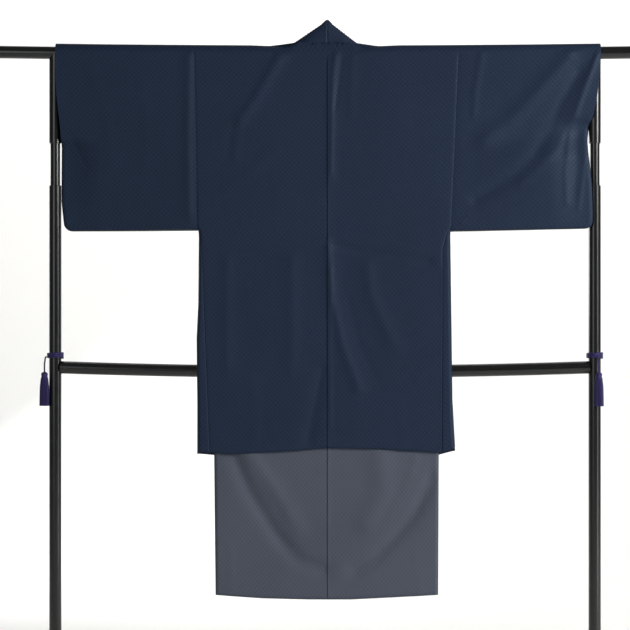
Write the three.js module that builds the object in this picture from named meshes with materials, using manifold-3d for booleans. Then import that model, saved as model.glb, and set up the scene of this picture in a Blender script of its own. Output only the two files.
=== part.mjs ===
// A navy haori jacket over a grey kimono, hung by their shoulders on the rod of a free-standing
// kimono stand. Sizes are in millimetres. The garments' backs face -Y, +X is to the right as the
// backs are seen, +Z is up, and the origin is on the floor midway between the uprights.
import * as THREE from "three";
import { mergeVertices } from "three/addons/utils/BufferGeometryUtils.js";
import Module from "manifold-3d";

const wasm = await Module();
wasm.setup();

const { smoothstep, lerp, clamp, degToRad, radToDeg } = THREE.MathUtils;

// Gap left between pieces that are sewn together or touch
const GAP = 0.4;

// The stand: a rod through both sleeves, two telescopic uprights, a mid bar and two feet
const ROD = { height: 1600, radius: 16, half: 860, sag: 7, capLength: 14, capRadius: 17.5, capEdge: 3 };
const MID_BAR = { height: 790, radius: 16, sag: 12 };
const UPRIGHT = { x: 693, radius: 15.5, innerRadius: 12.5, lowerTop: 1257, upperBottom: 1365 };
const SOCKET = { depth: 45, sides: 24 };
const FOOT = { half: 230, width: 36, height: 24, corner: 7, padInset: 24 };
const PAD = { radius: 14, height: 6, edge: 1 };
const COLLAR_RING = { radius: 22, height: 42, chamfer: 4 };
const WRAP = { bottom: 811, cord: 6, turns: 3, groove: 2, clear: 1.4 };
const TASSEL = { headTop: 778, headRadius: 8, headLength: 18, skirt: 74, strands: 20, neckRadius: 2.2 };
const STRAND_RINGS = [
  [6, 11.5],
  [3, 6],
];
const TASSEL_PLACE = {
  left: { x: -719.5, y: -10 },
  right: { x: 699, y: -31 },
};

// The two garments: wall thickness, radius of the cloth's middle over the rod, half of the neck,
// how far the back neck stands up, and the centre back seam that they share
const HAORI = { wall: 2, radius: 20.4, neck: 93, stand: 29, lean: 6 };
const KIMONO = { wall: 1.8, radius: 17.7, neck: 75, stand: 24, lean: 5 };
const CENTRE_SEAM = 6;

// How the layers hang: the mid bar pushes the fronts towards the viewer, and the backs with them
const HANG = { barDrop: 800, barClear: 17.6, nearPush: 19.3, hemSwing: 5, hemDrop: 1400 };
const SLACK = { depth: 3.3, full: 120 };
const LAP = { step: 3, full: 120, none: 190, from: 15, to: 140 };

// The side seams close just below the sleeves, and the kimono's a little higher than the haori's
const ARMPIT = { kimonoHigher: 12, above: 6, below: 18 };

// Sleeves: drop, closed end radii, and the half depth of each sleeve's hollow at its lower edge
// and at its sewn cuff edge. The kimono's sleeves are smaller, so that they fit inside.
const SLEEVE = { drop: 452, edgeBend: 12, bottomBend: 9, corner: 20, cornerTurn: 0.9, blend: 250 };
const SLEEVE_HOLLOW = { haori: 8, kimono: 4.6, haoriEdge: 6, kimonoEdge: 3, edgeTaper: 110, narrowing: 2.2 };
const SLEEVE_INSIDE = { higher: 14, shorter: 9, reach: 669, clearance: 0.8, clearFrom: 100 };
const CUFF_CLOSE = { above: 8, below: 18, swingFrom: 25, swingFull: 110 };

// Half widths of each garment by drop below the rod's middle, left and right of the centre
const SHOULDER_SEAM = [
  { drop: 0, left: 335, right: 342 },
  { drop: 452, left: 325, right: 321 },
];
const HAORI_EDGE = [
  { drop: 452, left: 323, right: 320 },
  { drop: 640, left: 324, right: 322 },
  { drop: 730, left: 328, right: 323 },
  { drop: 900, left: 326, right: 325 },
  { drop: 1035, left: 326, right: 332 },
];
const GUSSET_SEAM = [
  { drop: 448, left: 319, right: 315 },
  { drop: 500, left: 315, right: 300 },
  { drop: 1035, left: 294, right: 297 },
];
const KIMONO_EDGE = [
  { drop: 0, left: 330, right: 336 },
  { drop: 440, left: 319, right: 315 },
  { drop: 560, left: 298, right: 300 },
  { drop: 1020, left: 283, right: 290 },
  { drop: 1400, left: 279, right: 288 },
];

// Reach of each cuff edge by drop, and the drop at which its opening ends
const CUFF = {
  left: {
    opening: 224,
    swing: 4,
    edge: [
      { drop: 0, reach: 691 },
      { drop: 70, reach: 690 },
      { drop: 108, reach: 687.5 },
      { drop: 147, reach: 683.5 },
      { drop: 185, reach: 678.5 },
      { drop: 224, reach: 676 },
      { drop: 378, reach: 676 },
      { drop: 455, reach: 668 },
    ],
  },
  right: {
    opening: 170,
    swing: 20.5,
    edge: [
      { drop: 0, reach: 706.5 },
      { drop: 57, reach: 699 },
      { drop: 95, reach: 695 },
      { drop: 121, reach: 689 },
      { drop: 147, reach: 681 },
      { drop: 167, reach: 676 },
      { drop: 177, reach: 673.5 },
      { drop: 275, reach: 673.5 },
      { drop: 301, reach: 678.5 },
      { drop: 352, reach: 683.5 },
      { drop: 404, reach: 686 },
      { drop: 455, reach: 686 },
    ],
  },
};

// Heights of the hems from left to right
const HAORI_HEM = [
  { x: -326, z: 571 },
  { x: -239, z: 565.5 },
  { x: -64, z: 574.5 },
  { x: 3, z: 581 },
  { x: 141, z: 577 },
  { x: 290, z: 564 },
  { x: 332, z: 577 },
];
const KIMONO_HEM = [
  { x: -280, z: 208 },
  { x: -160, z: 200 },
  { x: -40, z: 196.5 },
  { x: 65, z: 196.5 },
  { x: 167, z: 202 },
  { x: 288, z: 208 },
];
const FRONT_HEM_LOWER = 7;

// Front bands and overlaps: the haori's band hangs straight, the kimono's crosses the front.
// Behind the neck each band rises to an apex and folds over.
const BAND = { width: 65, columns: [0, 0.25, 0.5, 0.75, 0.9, 1], foldAngle: 149, lift: 2.8 };
const CROSS = { width: 60, travel: 130, drop: 750, power: 1.2, panelSeam: 35, overlapEdge: 115 };
const HAORI_NECK = {
  apex: { y: -7, z: 1681 },
  fold: { y: -1, z: 1675 },
};
const KIMONO_NECK = {
  apex: { y: -4, z: 1667 },
  fold: { y: 2.5, z: 1660 },
};

// Largest soft folds of the backs: path in X and Z, half width, and height out of the cloth
const HAORI_FOLDS = [
  { height: 6, width: 24, path: [[-108, 1600], [-180, 1477], [-218, 1425], [-231, 1322]] },
  { height: 4, width: 22, path: [[-249, 1065], [-249, 796]] },
  { height: 4, width: 24, path: [[-85, 1065], [-85, 796]] },
  { height: -3, width: 22, path: [[-8, 783], [-44, 603]] },
  { height: 4, width: 18, path: [[31, 1590], [10, 1456], [15, 1261]] },
  { height: 5, width: 22, path: [[8, 1109], [18, 963], [44, 847], [85, 736]] },
  { height: 5, width: 22, path: [[108, 1040], [121, 963], [182, 847], [218, 783]] },
  { height: -3, width: 16, path: [[3, 1109], [90, 1086], [193, 1071], [275, 1060], [305, 1096]] },
];
const SLEEVE_FOLDS = [
  { height: 4, width: 18, path: [[-352, 1580], [-352, 1190]] },
  { height: -3, width: 18, path: [[-668, 1400], [-614, 1292]] },
  { height: 6, width: 22, path: [[622, 1582], [535, 1484], [473, 1420], [409, 1376]] },
  { height: -3, width: 20, path: [[650, 1546], [604, 1466], [535, 1330], [473, 1274], [385, 1222]] },
  { height: 5, width: 22, path: [[690, 1570], [643, 1443], [622, 1376], [609, 1209]] },
];
const SKIRT_FOLDS = [
  { height: -5, width: 24, path: [[-229, 557], [-198, 479], [-116, 351], [-64, 294], [-3, 274]] },
  { height: -5, width: 24, path: [[275, 490], [224, 408], [162, 336], [121, 300], [75, 274]] },
  { height: 5, width: 24, path: [[-213, 557], [-152, 500], [-105, 438], [-75, 387]] },
  { height: 5, width: 24, path: [[141, 551], [141, 474], [105, 397]] },
];

// Rows and columns of the cloth walls
const NECK_ROWS = [0, 0.167, 0.444, 0.722];
const OVER_ROD_ROWS = [
  { seam: 90, free: BAND.foldAngle },
  { seam: 120, free: 163 },
  { seam: 150, free: 174 },
];
const HAORI_BAND_ROWS = [0, 30, 90, 180, 310, 450, 560, 680, 775, 800, 835, 930];
const KIMONO_BAND_ROWS = [0, 30, 80, 140, 210, 300, 400, 500, 600, 690, 749];
const BAND_START = [10, 6];
const OVERLAP_ROWS = [300, 380, 470, 560, 650, 750, 756, 800, 835, 940, 1060, 1200];
const GUSSET_ROWS = [456, 500, 560, 640, 720, 800, 880, 960];
const HAORI_BACK_ROWS = [
  0, 40, 90, 150, 210, 270, 330, 385, 430, 448, 462, 500, 560, 620, 680, 740, 800, 870, 950,
];
const HAORI_FRONT_ROWS = [70, 200, 330, 430, 448, 462, 500, 600, 775, 800, 835, 930];
const KIMONO_BACK_ROWS = [
  0, 90, 220, 340, 425, 440, 462, 560, 740, 900, 1010, 1070, 1125, 1180, 1235, 1290, 1345,
];
const KIMONO_FRONT_ROWS = [35, 90, 190, 300, 425, 440, 462, 560, 752, 800, 835, 1000, 1200];
const HAORI_SLEEVE_ROWS = {
  back: [0, 50, 100, 150, 180, 224, 245, 290, 340, 390],
  front: [75, 150, 180, 224, 245, 330, 400],
  end: [1, 0.5, 0.15, 0],
};
const KIMONO_SLEEVE_ROWS = {
  back: [0, 100, 150, 180, 224, 245, 330],
  front: [75, 150, 180, 224, 245, 330],
  end: [1, 0.35, 0],
};
const EDGE_COLUMNS = [1, 0.42, 0.1, 0];
const NECK_COLUMN = 105;
const ARC_STEP = 22.5;
const ARC_END = radToDeg(Math.asin(GAP / 2 / KIMONO.radius));

// Distance from the centre at which a row's level is read, for a strip, a gusset and a band
const LEVEL_AT = { strip: 150, gusset: 310, band: 60 };

// Share by which the standing back neck goes on rising away from the centre, and where that ends
const NECK_SLOPE = { share: 0.05, from: 35, to: 55 };

const MATERIALS = {
  navy: new THREE.MeshStandardMaterial({ color: 0x25303f, roughness: 0.7, metalness: 0 }),
  grey: new THREE.MeshStandardMaterial({ color: 0x565e6c, roughness: 0.75, metalness: 0 }),
  steel: new THREE.MeshStandardMaterial({ color: 0x151515, roughness: 0.35, metalness: 0.6 }),
  rubber: new THREE.MeshStandardMaterial({ color: 0x101010, roughness: 0.9, metalness: 0 }),
  cord: new THREE.MeshStandardMaterial({ color: 0x2a0f66, roughness: 0.6, metalness: 0 }),
};

const stand = new THREE.Group();
const haori = new THREE.Group();
const kimono = new THREE.Group();
const whole = new THREE.Group();
whole.add(stand, kimono, haori);

function addPiece(group, name, geometry, material) {
  const mesh = new THREE.Mesh(geometry, material.clone());
  mesh.name = name;
  group.add(mesh);
  return mesh;
}

// Value of one named column of a table, read between its rows
function between(table, key, column, value) {
  const last = table.length - 1;
  const next = table.findIndex((row) => row[key] >= value);
  if (next === 0) return table[0][column];
  if (next < 0) return table[last][column];
  const before = table[next - 1];
  const part = (value - before[key]) / (table[next][key] - before[key]);
  return lerp(before[column], table[next][column], part);
}

const sideName = (sign) => (sign < 0 ? "left" : "right");
const rodZ = (x) => ROD.height - ROD.sag * (1 - (x / ROD.half) ** 2);
const barZ = (x) => MID_BAR.height - MID_BAR.sag * (1 - (x / UPRIGHT.x) ** 2);

// Height of all folds together where the back of the cloth is at x and z
function foldHeight(folds, x, z) {
  let height = 0;
  for (const fold of folds) {
    let nearest = Infinity;
    for (let i = 1; i < fold.path.length; i++) {
      const [x0, z0] = fold.path[i - 1];
      const [x1, z1] = fold.path[i];
      const length = (x1 - x0) ** 2 + (z1 - z0) ** 2;
      const part = clamp(((x - x0) * (x1 - x0) + (z - z0) * (z1 - z0)) / length, 0, 1);
      nearest = Math.min(nearest, Math.hypot(x - lerp(x0, x1, part), z - lerp(z0, z1, part)));
    }
    height += fold.height * Math.exp(-((nearest / fold.width) ** 2));
  }
  return height;
}

// Room that the haori's looser back leaves over the kimono's
function slackAt(garment, drop) {
  return garment === HAORI ? SLACK.depth * smoothstep(drop, 0, SLACK.full) : 0;
}

// Depth of the hanging layers at a drop below the rod's middle, positive towards +Y
function backDepth(garment, drop) {
  const push = HANG.nearPush * smoothstep(drop, 0, HANG.barDrop);
  const swing = HANG.hemSwing * smoothstep(drop, HANG.barDrop, HANG.hemDrop);
  return -(garment.radius + push + swing + slackAt(garment, drop));
}

function frontDepth(garment, drop) {
  const slope = Math.min(drop / HANG.barDrop, 1);
  const haoriDepth = lerp(HAORI.radius, -HANG.barClear, slope);
  if (garment === HAORI) return haoriDepth;
  return haoriDepth - (HAORI.radius - KIMONO.radius) - 0.5 * smoothstep(drop, 0, 150);
}

// Half circle that closes two layers at an edge, from 1 inside to 0 on the edge
function closing(toEdge, bend, amount) {
  const part = clamp(1 - toEdge / bend, 0, 1);
  return 1 - amount + amount * Math.sqrt(1 - part * part);
}

// Half depth at which two sewn layers lie flat against each other
const seamHalf = (garment, half) => Math.max(half, (garment.wall + GAP) / 2);

// Point of a garment's body: side is -1 on the back and 1 on the front
function bodyPoint(garment, side, x, drop, joined = false) {
  const back = backDepth(garment, drop);
  const front = frontDepth(garment, drop);
  const name = sideName(x);
  const table = garment === HAORI ? HAORI_EDGE : KIMONO_EDGE;
  const armpit = garment === HAORI ? SLEEVE.drop : SLEEVE.drop - ARMPIT.kimonoHigher;
  const edge = between(table, "drop", name, drop);
  const shut = smoothstep(drop, armpit - ARMPIT.above, armpit + ARMPIT.below);
  const open = closing(edge - Math.abs(x), SLEEVE.bottomBend, shut);
  const half = ((front - back) / 2) * open;
  const z = rodZ(x) - drop;
  let y = (front + back) / 2 + side * (joined ? half : seamHalf(garment, half));
  if (side < 0) y -= foldHeight(garment === HAORI ? HAORI_FOLDS : SKIRT_FOLDS, x, z) * open;
  return new THREE.Vector3(x, y, z);
}

// Point of the cloth over the rod: angle 0 is the back's side and 180 the front's side
function overRod(garment, x, angle) {
  const turn = degToRad(angle);
  const arc = new THREE.Vector3(
    x,
    -garment.radius * Math.cos(turn),
    rodZ(x) + garment.radius * Math.sin(turn),
  );
  const slope = NECK_SLOPE.share * (1 - smoothstep(Math.abs(x), NECK_SLOPE.from, NECK_SLOPE.to));
  const rise = Math.min(angle / 45, 1) + slope * Math.max(angle / 45 - 1, 0);
  const upright = new THREE.Vector3(x, -garment.radius + garment.lean * rise, rodZ(x) + garment.stand * rise);
  const inNeck = angle > 90 ? 0 : 1 - smoothstep(Math.abs(x), garment.neck - 20, garment.neck + 5);
  return arc.lerp(upright, inNeck);
}

// A closed wall of cloth: rows of points on its middle, moved half the thickness to each side
function clothWall(rows, thickness, falling = false, squareStart = false) {
  const lastRow = rows.length - 1;
  const lastColumn = rows[0].length - 1;
  const positions = [];
  for (const side of [1, -1]) {
    rows.forEach((row, r) =>
      row.forEach((point, c) => {
        const along = row[Math.min(c + 1, lastColumn)].clone().sub(row[Math.max(c - 1, 0)]);
        const down = rows[Math.min(r + 1, lastRow)][c].clone().sub(rows[Math.max(r - 1, 0)][c]);
        const normal = along.cross(down);
        if (squareStart && r === 0) normal.x = 0;
        normal.normalize();
        positions.push(...point.clone().addScaledVector(normal, (side * thickness) / 2));
      }),
    );
  }
  const index = (inner, r, c) => (inner * rows.length + r) * (lastColumn + 1) + c;
  const faces = [];
  function quad(a, b, c, d) {
    if (falling) faces.push(b, c, d, b, d, a);
    else faces.push(a, b, c, a, c, d);
  }
  for (let r = 0; r < lastRow; r++) {
    for (let c = 0; c < lastColumn; c++) {
      quad(index(0, r, c), index(0, r, c + 1), index(0, r + 1, c + 1), index(0, r + 1, c));
      if (falling) {
        faces.push(index(1, r, c + 1), index(1, r + 1, c), index(1, r + 1, c + 1));
        faces.push(index(1, r, c + 1), index(1, r, c), index(1, r + 1, c));
      } else {
        faces.push(index(1, r, c), index(1, r + 1, c + 1), index(1, r, c + 1));
        faces.push(index(1, r, c), index(1, r + 1, c), index(1, r + 1, c + 1));
      }
    }
  }
  const rim = [];
  for (let c = 0; c < lastColumn; c++) rim.push([0, c]);
  for (let r = 0; r < lastRow; r++) rim.push([r, lastColumn]);
  for (let c = lastColumn; c > 0; c--) rim.push([lastRow, c]);
  for (let r = lastRow; r > 0; r--) rim.push([r, 0]);
  rim.forEach(([r, c], i) => {
    const [nextR, nextC] = rim[(i + 1) % rim.length];
    faces.push(index(0, r, c), index(1, r, c), index(1, nextR, nextC));
    faces.push(index(0, r, c), index(1, nextR, nextC), index(0, nextR, nextC));
  });
  return outward(positions, faces);
}

// Geometry of a closed surface, turned so that its faces point out
function outward(positions, faces) {
  const corner = (i) => new THREE.Vector3().fromArray(positions, 3 * i);
  let volume = 0;
  for (let i = 0; i < faces.length; i += 3) {
    volume += corner(faces[i]).dot(corner(faces[i + 1]).cross(corner(faces[i + 2])));
  }
  const ordered = volume > 0 ? faces : faces.slice().reverse();
  const geometry = new THREE.BufferGeometry();
  geometry.setAttribute("position", new THREE.Float32BufferAttribute(positions, 3));
  geometry.setIndex(ordered);
  geometry.computeVertexNormals();
  return geometry;
}

// Columns from an inner line to an outer one, with the last few close to the outer edge
function columnsTo(inner, outer, cells, bend, ends = EDGE_COLUMNS) {
  const straight = [];
  for (let i = 0; i < cells; i++) {
    straight.push(lerp(inner, outer - bend, i / cells));
  }
  return [...straight, ...ends.map((part) => outer - bend * part)];
}

// The same on a body strip, where one column stays beside the neck
function stripColumns(garment, inner, outer) {
  const cells = garment === HAORI ? 5 : 2;
  const bend = garment === HAORI ? 24 : SLEEVE.bottomBend;
  const ends = garment === HAORI ? [1, 0] : [1, 0.35, 0];
  return [inner, lerp(inner, NECK_COLUMN, 0.5), ...columnsTo(NECK_COLUMN, outer, cells, bend, ends)];
}

const hemDrop = (hem, x) => rodZ(x) - between(hem, "x", "z", x);

// Drops of a row at x: the last row follows the hem
function rowDrop(rows, r, hem, x, lower = 0) {
  return r < rows.length ? rows[r] : hemDrop(hem, x) + lower;
}

// Rows of a body strip, which is one length of cloth from the back hem over the rod to the front
// hem: its back, the part over the rod and its front
function stripRows(garment, sign) {
  const isHaori = garment === HAORI;
  const hem = isHaori ? HAORI_HEM : KIMONO_HEM;
  const backRows = isHaori ? HAORI_BACK_ROWS : KIMONO_BACK_ROWS;
  const frontRows = isHaori ? HAORI_FRONT_ROWS : KIMONO_FRONT_ROWS;
  const name = sideName(sign);
  const centre = CENTRE_SEAM * sign + GAP / 2;
  const lower = isHaori ? FRONT_HEM_LOWER : 0;
  const top = isHaori ? 0 : GAP / 2;
  const outer = (drop) => {
    const shoulder = between(SHOULDER_SEAM, "drop", name, drop);
    const seam = between(GUSSET_SEAM, "drop", name, drop);
    if (!isHaori) return between(KIMONO_EDGE, "drop", name, drop);
    return drop < SLEEVE.drop - ARMPIT.above ? shoulder - GAP / 2 : seam - GAP;
  };
  const frontInner = (drop) => {
    if (isHaori) return garment.neck + GAP / 2;
    return Math.max(crossLine(drop), CROSS.panelSeam) + GAP / 2;
  };
  const back = [];
  for (let r = backRows.length; r >= 0; r--) {
    const drop = rowDrop(backRows, r, hem, sign * LEVEL_AT.strip);
    back.push(
      stripColumns(garment, centre, outer(drop)).map((across) => {
        const x = sign * across;
        return bodyPoint(garment, -1, x, Math.max(rowDrop(backRows, r, hem, x), top));
      }),
    );
  }
  const over = arcAngles(isHaori ? 0 : ARC_END).map((angle) => {
    const reach = clamp((angle - 45) / 45, 0, 1);
    const inner = lerp(centre, garment.neck + GAP / 2, reach);
    const columns = stripColumns(garment, inner, outer(0));
    return columns.map((across) => overRod(garment, sign * across, angle));
  });
  const topColumns = stripColumns(garment, frontInner(0), outer(0));
  const front = [topColumns.map((across) => frontPoint(garment, sign, across, top))];
  for (let r = 0; r <= frontRows.length; r++) {
    const drop = rowDrop(frontRows, r, hem, sign * LEVEL_AT.strip, lower);
    front.push(
      stripColumns(garment, frontInner(drop), outer(drop)).map((across) =>
        frontPoint(garment, sign, across, rowDrop(frontRows, r, hem, sign * across, lower)),
      ),
    );
  }
  return { back, over, front };
}

// Angles of the rows over the rod, with one near each end where the strip is divided there
function arcAngles(end) {
  const angles = end ? [end] : [];
  for (let angle = ARC_STEP; angle < 180; angle += ARC_STEP) angles.push(angle);
  if (end) angles.push(180 - end);
  return angles;
}

// The haori's strip is one wall. The kimono's is divided where it leaves the rod, so that the
// collision shape of each part is flat and leaves the hollow between back and front open.
function addStrips(sign) {
  const name = sideName(sign);
  const jacket = stripRows(HAORI, sign);
  const jacketRows = [...jacket.back, ...jacket.over, ...jacket.front];
  addPiece(haori, `haori_body_${name}`, clothWall(jacketRows, HAORI.wall), MATERIALS.navy);
  const robe = stripRows(KIMONO, sign);
  addPiece(kimono, `kimono_back_${name}`, clothWall(robe.back, KIMONO.wall), MATERIALS.grey);
  addPiece(kimono, `kimono_shoulder_${name}`, clothWall(robe.over, KIMONO.wall), MATERIALS.grey);
  addPiece(kimono, `kimono_front_${name}`, clothWall(robe.front, KIMONO.wall), MATERIALS.grey);
}

// Distance of the kimono's band seam from the centre line by drop, negative past the centre
function crossLine(drop) {
  const part = Math.min(drop, CROSS.drop) / CROSS.drop;
  return KIMONO.neck - CROSS.travel * part ** CROSS.power;
}

// Point of a front: across is measured towards the piece's own side. The kimono's right front
// lies inside the left one where they overlap.
function frontPoint(garment, sign, across, drop) {
  const point = bodyPoint(garment, 1, sign * across, drop);
  if (garment === KIMONO && sign > 0) {
    const under = 1 - smoothstep(across, LAP.full, LAP.none);
    point.y -= LAP.step * under * smoothstep(drop, LAP.from, LAP.to);
  }
  return point;
}

// Overlap panels of the kimono, between the front strips and the crossing band
function overlapPanel(sign) {
  const rows = [];
  for (let r = 0; r <= OVERLAP_ROWS.length; r++) {
    const drop = rowDrop(OVERLAP_ROWS, r, KIMONO_HEM, 0);
    const free = drop > CROSS.drop ? -CROSS.overlapEdge : crossLine(drop) + GAP / 2;
    const seam = CROSS.panelSeam - GAP / 2;
    const row = [];
    for (let i = 0; i <= 3; i++) {
      const across = lerp(free, seam, i / 3);
      row.push(frontPoint(KIMONO, sign, across, rowDrop(OVERLAP_ROWS, r, KIMONO_HEM, sign * across)));
    }
    rows.push(row);
  }
  return clothWall(rows, KIMONO.wall);
}

// Point of a sleeve's hollow: side is -1 on the back and 1 on the front
function sleevePoint(garment, sign, side, across, drop, bottom, edge) {
  const cuff = CUFF[sideName(sign)];
  const seam = between(SHOULDER_SEAM, "drop", sideName(sign), drop);
  const out = smoothstep(across, seam, seam + SLEEVE.blend);
  const back = backDepth(garment, drop);
  const front = frontDepth(garment, drop);
  const isHaori = garment === HAORI;
  const hollow = isHaori ? SLEEVE_HOLLOW.haori : SLEEVE_HOLLOW.kimono;
  const slack = slackAt(garment, drop);
  const inside = isHaori ? 0 : SLEEVE_INSIDE.clearance * smoothstep(drop, 0, SLEEVE_INSIDE.clearFrom);
  const narrowed = lerp(garment.radius, hollow, (drop / SLEEVE.drop) ** SLEEVE_HOLLOW.narrowing);
  const cuffHalf = narrowed + slack / 2 - inside;
  const shut = smoothstep(drop, cuff.opening - CUFF_CLOSE.above, cuff.opening + CUFF_CLOSE.below);
  const taper = shut * smoothstep(across, edge - SLEEVE_HOLLOW.edgeTaper, edge - SLEEVE.edgeBend);
  const edgeHalf = isHaori ? SLEEVE_HOLLOW.haoriEdge : SLEEVE_HOLLOW.kimonoEdge;
  const swingFrom = cuff.opening + CUFF_CLOSE.swingFrom;
  const swing = -cuff.swing * smoothstep(drop, swingFrom, cuff.opening + CUFF_CLOSE.swingFull);
  const half = lerp((front - back) / 2, lerp(cuffHalf, edgeHalf, taper), out);
  const middle = lerp((front + back) / 2, swing - (slack / 2) * (1 - taper), out);
  const edgeShut = closing(edge - across, SLEEVE.edgeBend, shut);
  const bottomShut = closing(bottom - drop, SLEEVE.bottomBend, 1);
  const x = sign * across;
  const z = rodZ(x) - drop;
  let y = middle + side * seamHalf(garment, half * edgeShut * bottomShut);
  if (side < 0 && isHaori) y -= foldHeight(SLEEVE_FOLDS, x, z) * edgeShut * bottomShut;
  return new THREE.Vector3(x, y, z);
}

// Sleeves, each one length of cloth folded over the rod and sewn below and at the cuff
function sleeve(garment, sign) {
  const isHaori = garment === HAORI;
  const name = sideName(sign);
  const bottom = isHaori ? SLEEVE.drop : SLEEVE.drop - SLEEVE_INSIDE.higher;
  const cells = isHaori ? 5 : 2;
  const table = isHaori ? SHOULDER_SEAM : KIMONO_EDGE;
  const edgeAt = (drop) => {
    const reach = between(CUFF[name].edge, "drop", "reach", drop);
    const corner = clamp((drop - bottom + SLEEVE.corner) / SLEEVE.corner, 0, SLEEVE.cornerTurn);
    const rounded = SLEEVE.corner * (1 - Math.sqrt(1 - corner * corner));
    const inner = Math.min(reach - SLEEVE_INSIDE.shorter, SLEEVE_INSIDE.reach);
    return (isHaori ? reach : inner) - rounded;
  };
  const columns = (drop) => {
    const seam = between(table, "drop", name, drop) + (isHaori ? GAP / 2 : GAP);
    return columnsTo(seam, edgeAt(drop), cells, SLEEVE.edgeBend);
  };
  const drops = isHaori ? HAORI_SLEEVE_ROWS : KIMONO_SLEEVE_ROWS;
  const ends = drops.end.map((part) => bottom - SLEEVE.bottomBend * part);
  const backDrops = [...drops.back, ...ends];
  const frontDrops = [...drops.front, ...ends];
  const row = (side, drop) =>
    columns(drop).map((across) => sleevePoint(garment, sign, side, across, drop, bottom, edgeAt(drop)));
  const rows = backDrops.reverse().map((drop) => row(-1, drop));
  for (let angle = ARC_STEP; angle < 180; angle += ARC_STEP) {
    rows.push(columns(0).map((across) => overRod({ ...garment, neck: 0 }, sign * across, angle)));
  }
  rows.push(row(1, 0));
  frontDrops.forEach((drop) => rows.push(row(1, drop)));
  return clothWall(rows, garment.wall);
}

// Side gussets of the haori: from the back seam round the outer fold to the front seam
function gusset(sign) {
  const name = sideName(sign);
  const rows = [];
  for (let r = 0; r <= GUSSET_ROWS.length; r++) {
    const level = rowDrop(GUSSET_ROWS, r, HAORI_HEM, sign * LEVEL_AT.gusset);
    const seam = between(GUSSET_SEAM, "drop", name, level) + GAP / 2;
    const edge = between(HAORI_EDGE, "drop", name, level);
    const bend = Math.min(SLEEVE.bottomBend, (edge - seam) * 0.8);
    const out = [seam, ...EDGE_COLUMNS.map((part) => edge - bend * part)];
    const back = out.map((across) => [-1, across]);
    const front = out.slice(0, -1).reverse().map((across) => [1, across]);
    rows.push(
      [...back, ...front].map(([side, across]) => {
        const x = sign * across;
        return bodyPoint(HAORI, side, x, rowDrop(GUSSET_ROWS, r, HAORI_HEM, x), true);
      }),
    );
  }
  return clothWall(rows, HAORI.wall);
}

// Half of a collar band: it stands at the back of the neck, folds over along a line that falls
// to the shoulder, and hangs down the front
function collarHalf(garment, sign) {
  const isHaori = garment === HAORI;
  const neck = isHaori ? HAORI_NECK : KIMONO_NECK;
  const width = isHaori ? BAND.width : CROSS.width;
  const lastColumn = BAND.columns.length - 1;
  const shoulderX = garment.neck - GAP / 2;
  const seamAt = (drop) => (isHaori ? shoulderX : crossLine(drop) - GAP / 2);
  const centre = CENTRE_SEAM * sign + GAP / 2;
  const shoulderZ = rodZ(garment.neck) + garment.radius + BAND.lift;
  const shoulder = new THREE.Vector3(shoulderX - GAP, 0, shoulderZ);
  const beyondNeck = { ...garment, neck: 0 };
  const foldEnd = overRod(beyondNeck, shoulderX - width, BAND.foldAngle);
  const apex = new THREE.Vector3(centre, neck.apex.y, neck.apex.z);
  const freeTop = new THREE.Vector3(centre, neck.fold.y, neck.fold.z);
  const baseY = garment.lean - garment.radius;
  const baseZ = rodZ(0) + garment.stand + BAND.lift;
  const base = new THREE.Vector3(centre, baseY, baseZ);
  const baseSide = new THREE.Vector3((centre + garment.neck) / 2, baseY, baseZ);
  const rows = [];
  NECK_ROWS.forEach((part, r) => {
    const half = 2 * part;
    const attached =
      half < 1 ? base.clone().lerp(baseSide, half) : baseSide.clone().lerp(shoulder, half - 1);
    const crease = apex.clone().lerp(shoulder, part);
    const free = freeTop.clone().lerp(foldEnd, part);
    const turn = lastColumn - 1 - r;
    rows.push(
      BAND.columns.map((_, c) => {
        if (c <= turn) return attached.clone().lerp(crease, c / turn);
        return crease.clone().lerp(free, (c - turn) / (lastColumn - turn));
      }),
    );
  });
  for (const { seam, free } of OVER_ROD_ROWS) {
    rows.push(
      BAND.columns.map((part) =>
        overRod(beyondNeck, lerp(shoulderX, shoulderX - width, part), lerp(seam, free, part)),
      ),
    );
  }
  const drops = isHaori ? HAORI_BAND_ROWS : KIMONO_BAND_ROWS;
  const lastRow = isHaori ? drops.length : drops.length - 1;
  for (let r = 0; r <= lastRow; r++) {
    const level = rowDrop(drops, r, HAORI_HEM, LEVEL_AT.band, FRONT_HEM_LOWER);
    rows.push(
      BAND.columns.map((part) => {
        const across = lerp(seamAt(level), seamAt(level) - width, part);
        const ahead = (BAND_START[r] ?? 0) * part;
        const drop = rowDrop(drops, r, HAORI_HEM, sign * across, FRONT_HEM_LOWER) + ahead;
        return frontPoint(garment, sign, across, drop);
      }),
    );
  }
  const mirroredRows = NECK_ROWS.length + OVER_ROD_ROWS.length;
  rows.slice(0, mirroredRows).forEach((row) => row.forEach((point) => (point.x *= sign)));
  return clothWall(rows, garment.wall, true, true);
}

for (const sign of [-1, 1]) {
  const name = sideName(sign);
  addStrips(sign);
  addPiece(kimono, `kimono_overlap_${name}`, overlapPanel(sign), MATERIALS.grey);
  addPiece(kimono, `kimono_sleeve_${name}`, sleeve(KIMONO, sign), MATERIALS.grey);
  addPiece(kimono, `kimono_collar_${name}`, collarHalf(KIMONO, sign), MATERIALS.grey);
  addPiece(haori, `haori_sleeve_${name}`, sleeve(HAORI, sign), MATERIALS.navy);
  addPiece(haori, `haori_gusset_${name}`, gusset(sign), MATERIALS.navy);
  addPiece(haori, `haori_collar_${name}`, collarHalf(HAORI, sign), MATERIALS.navy);
}

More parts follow.
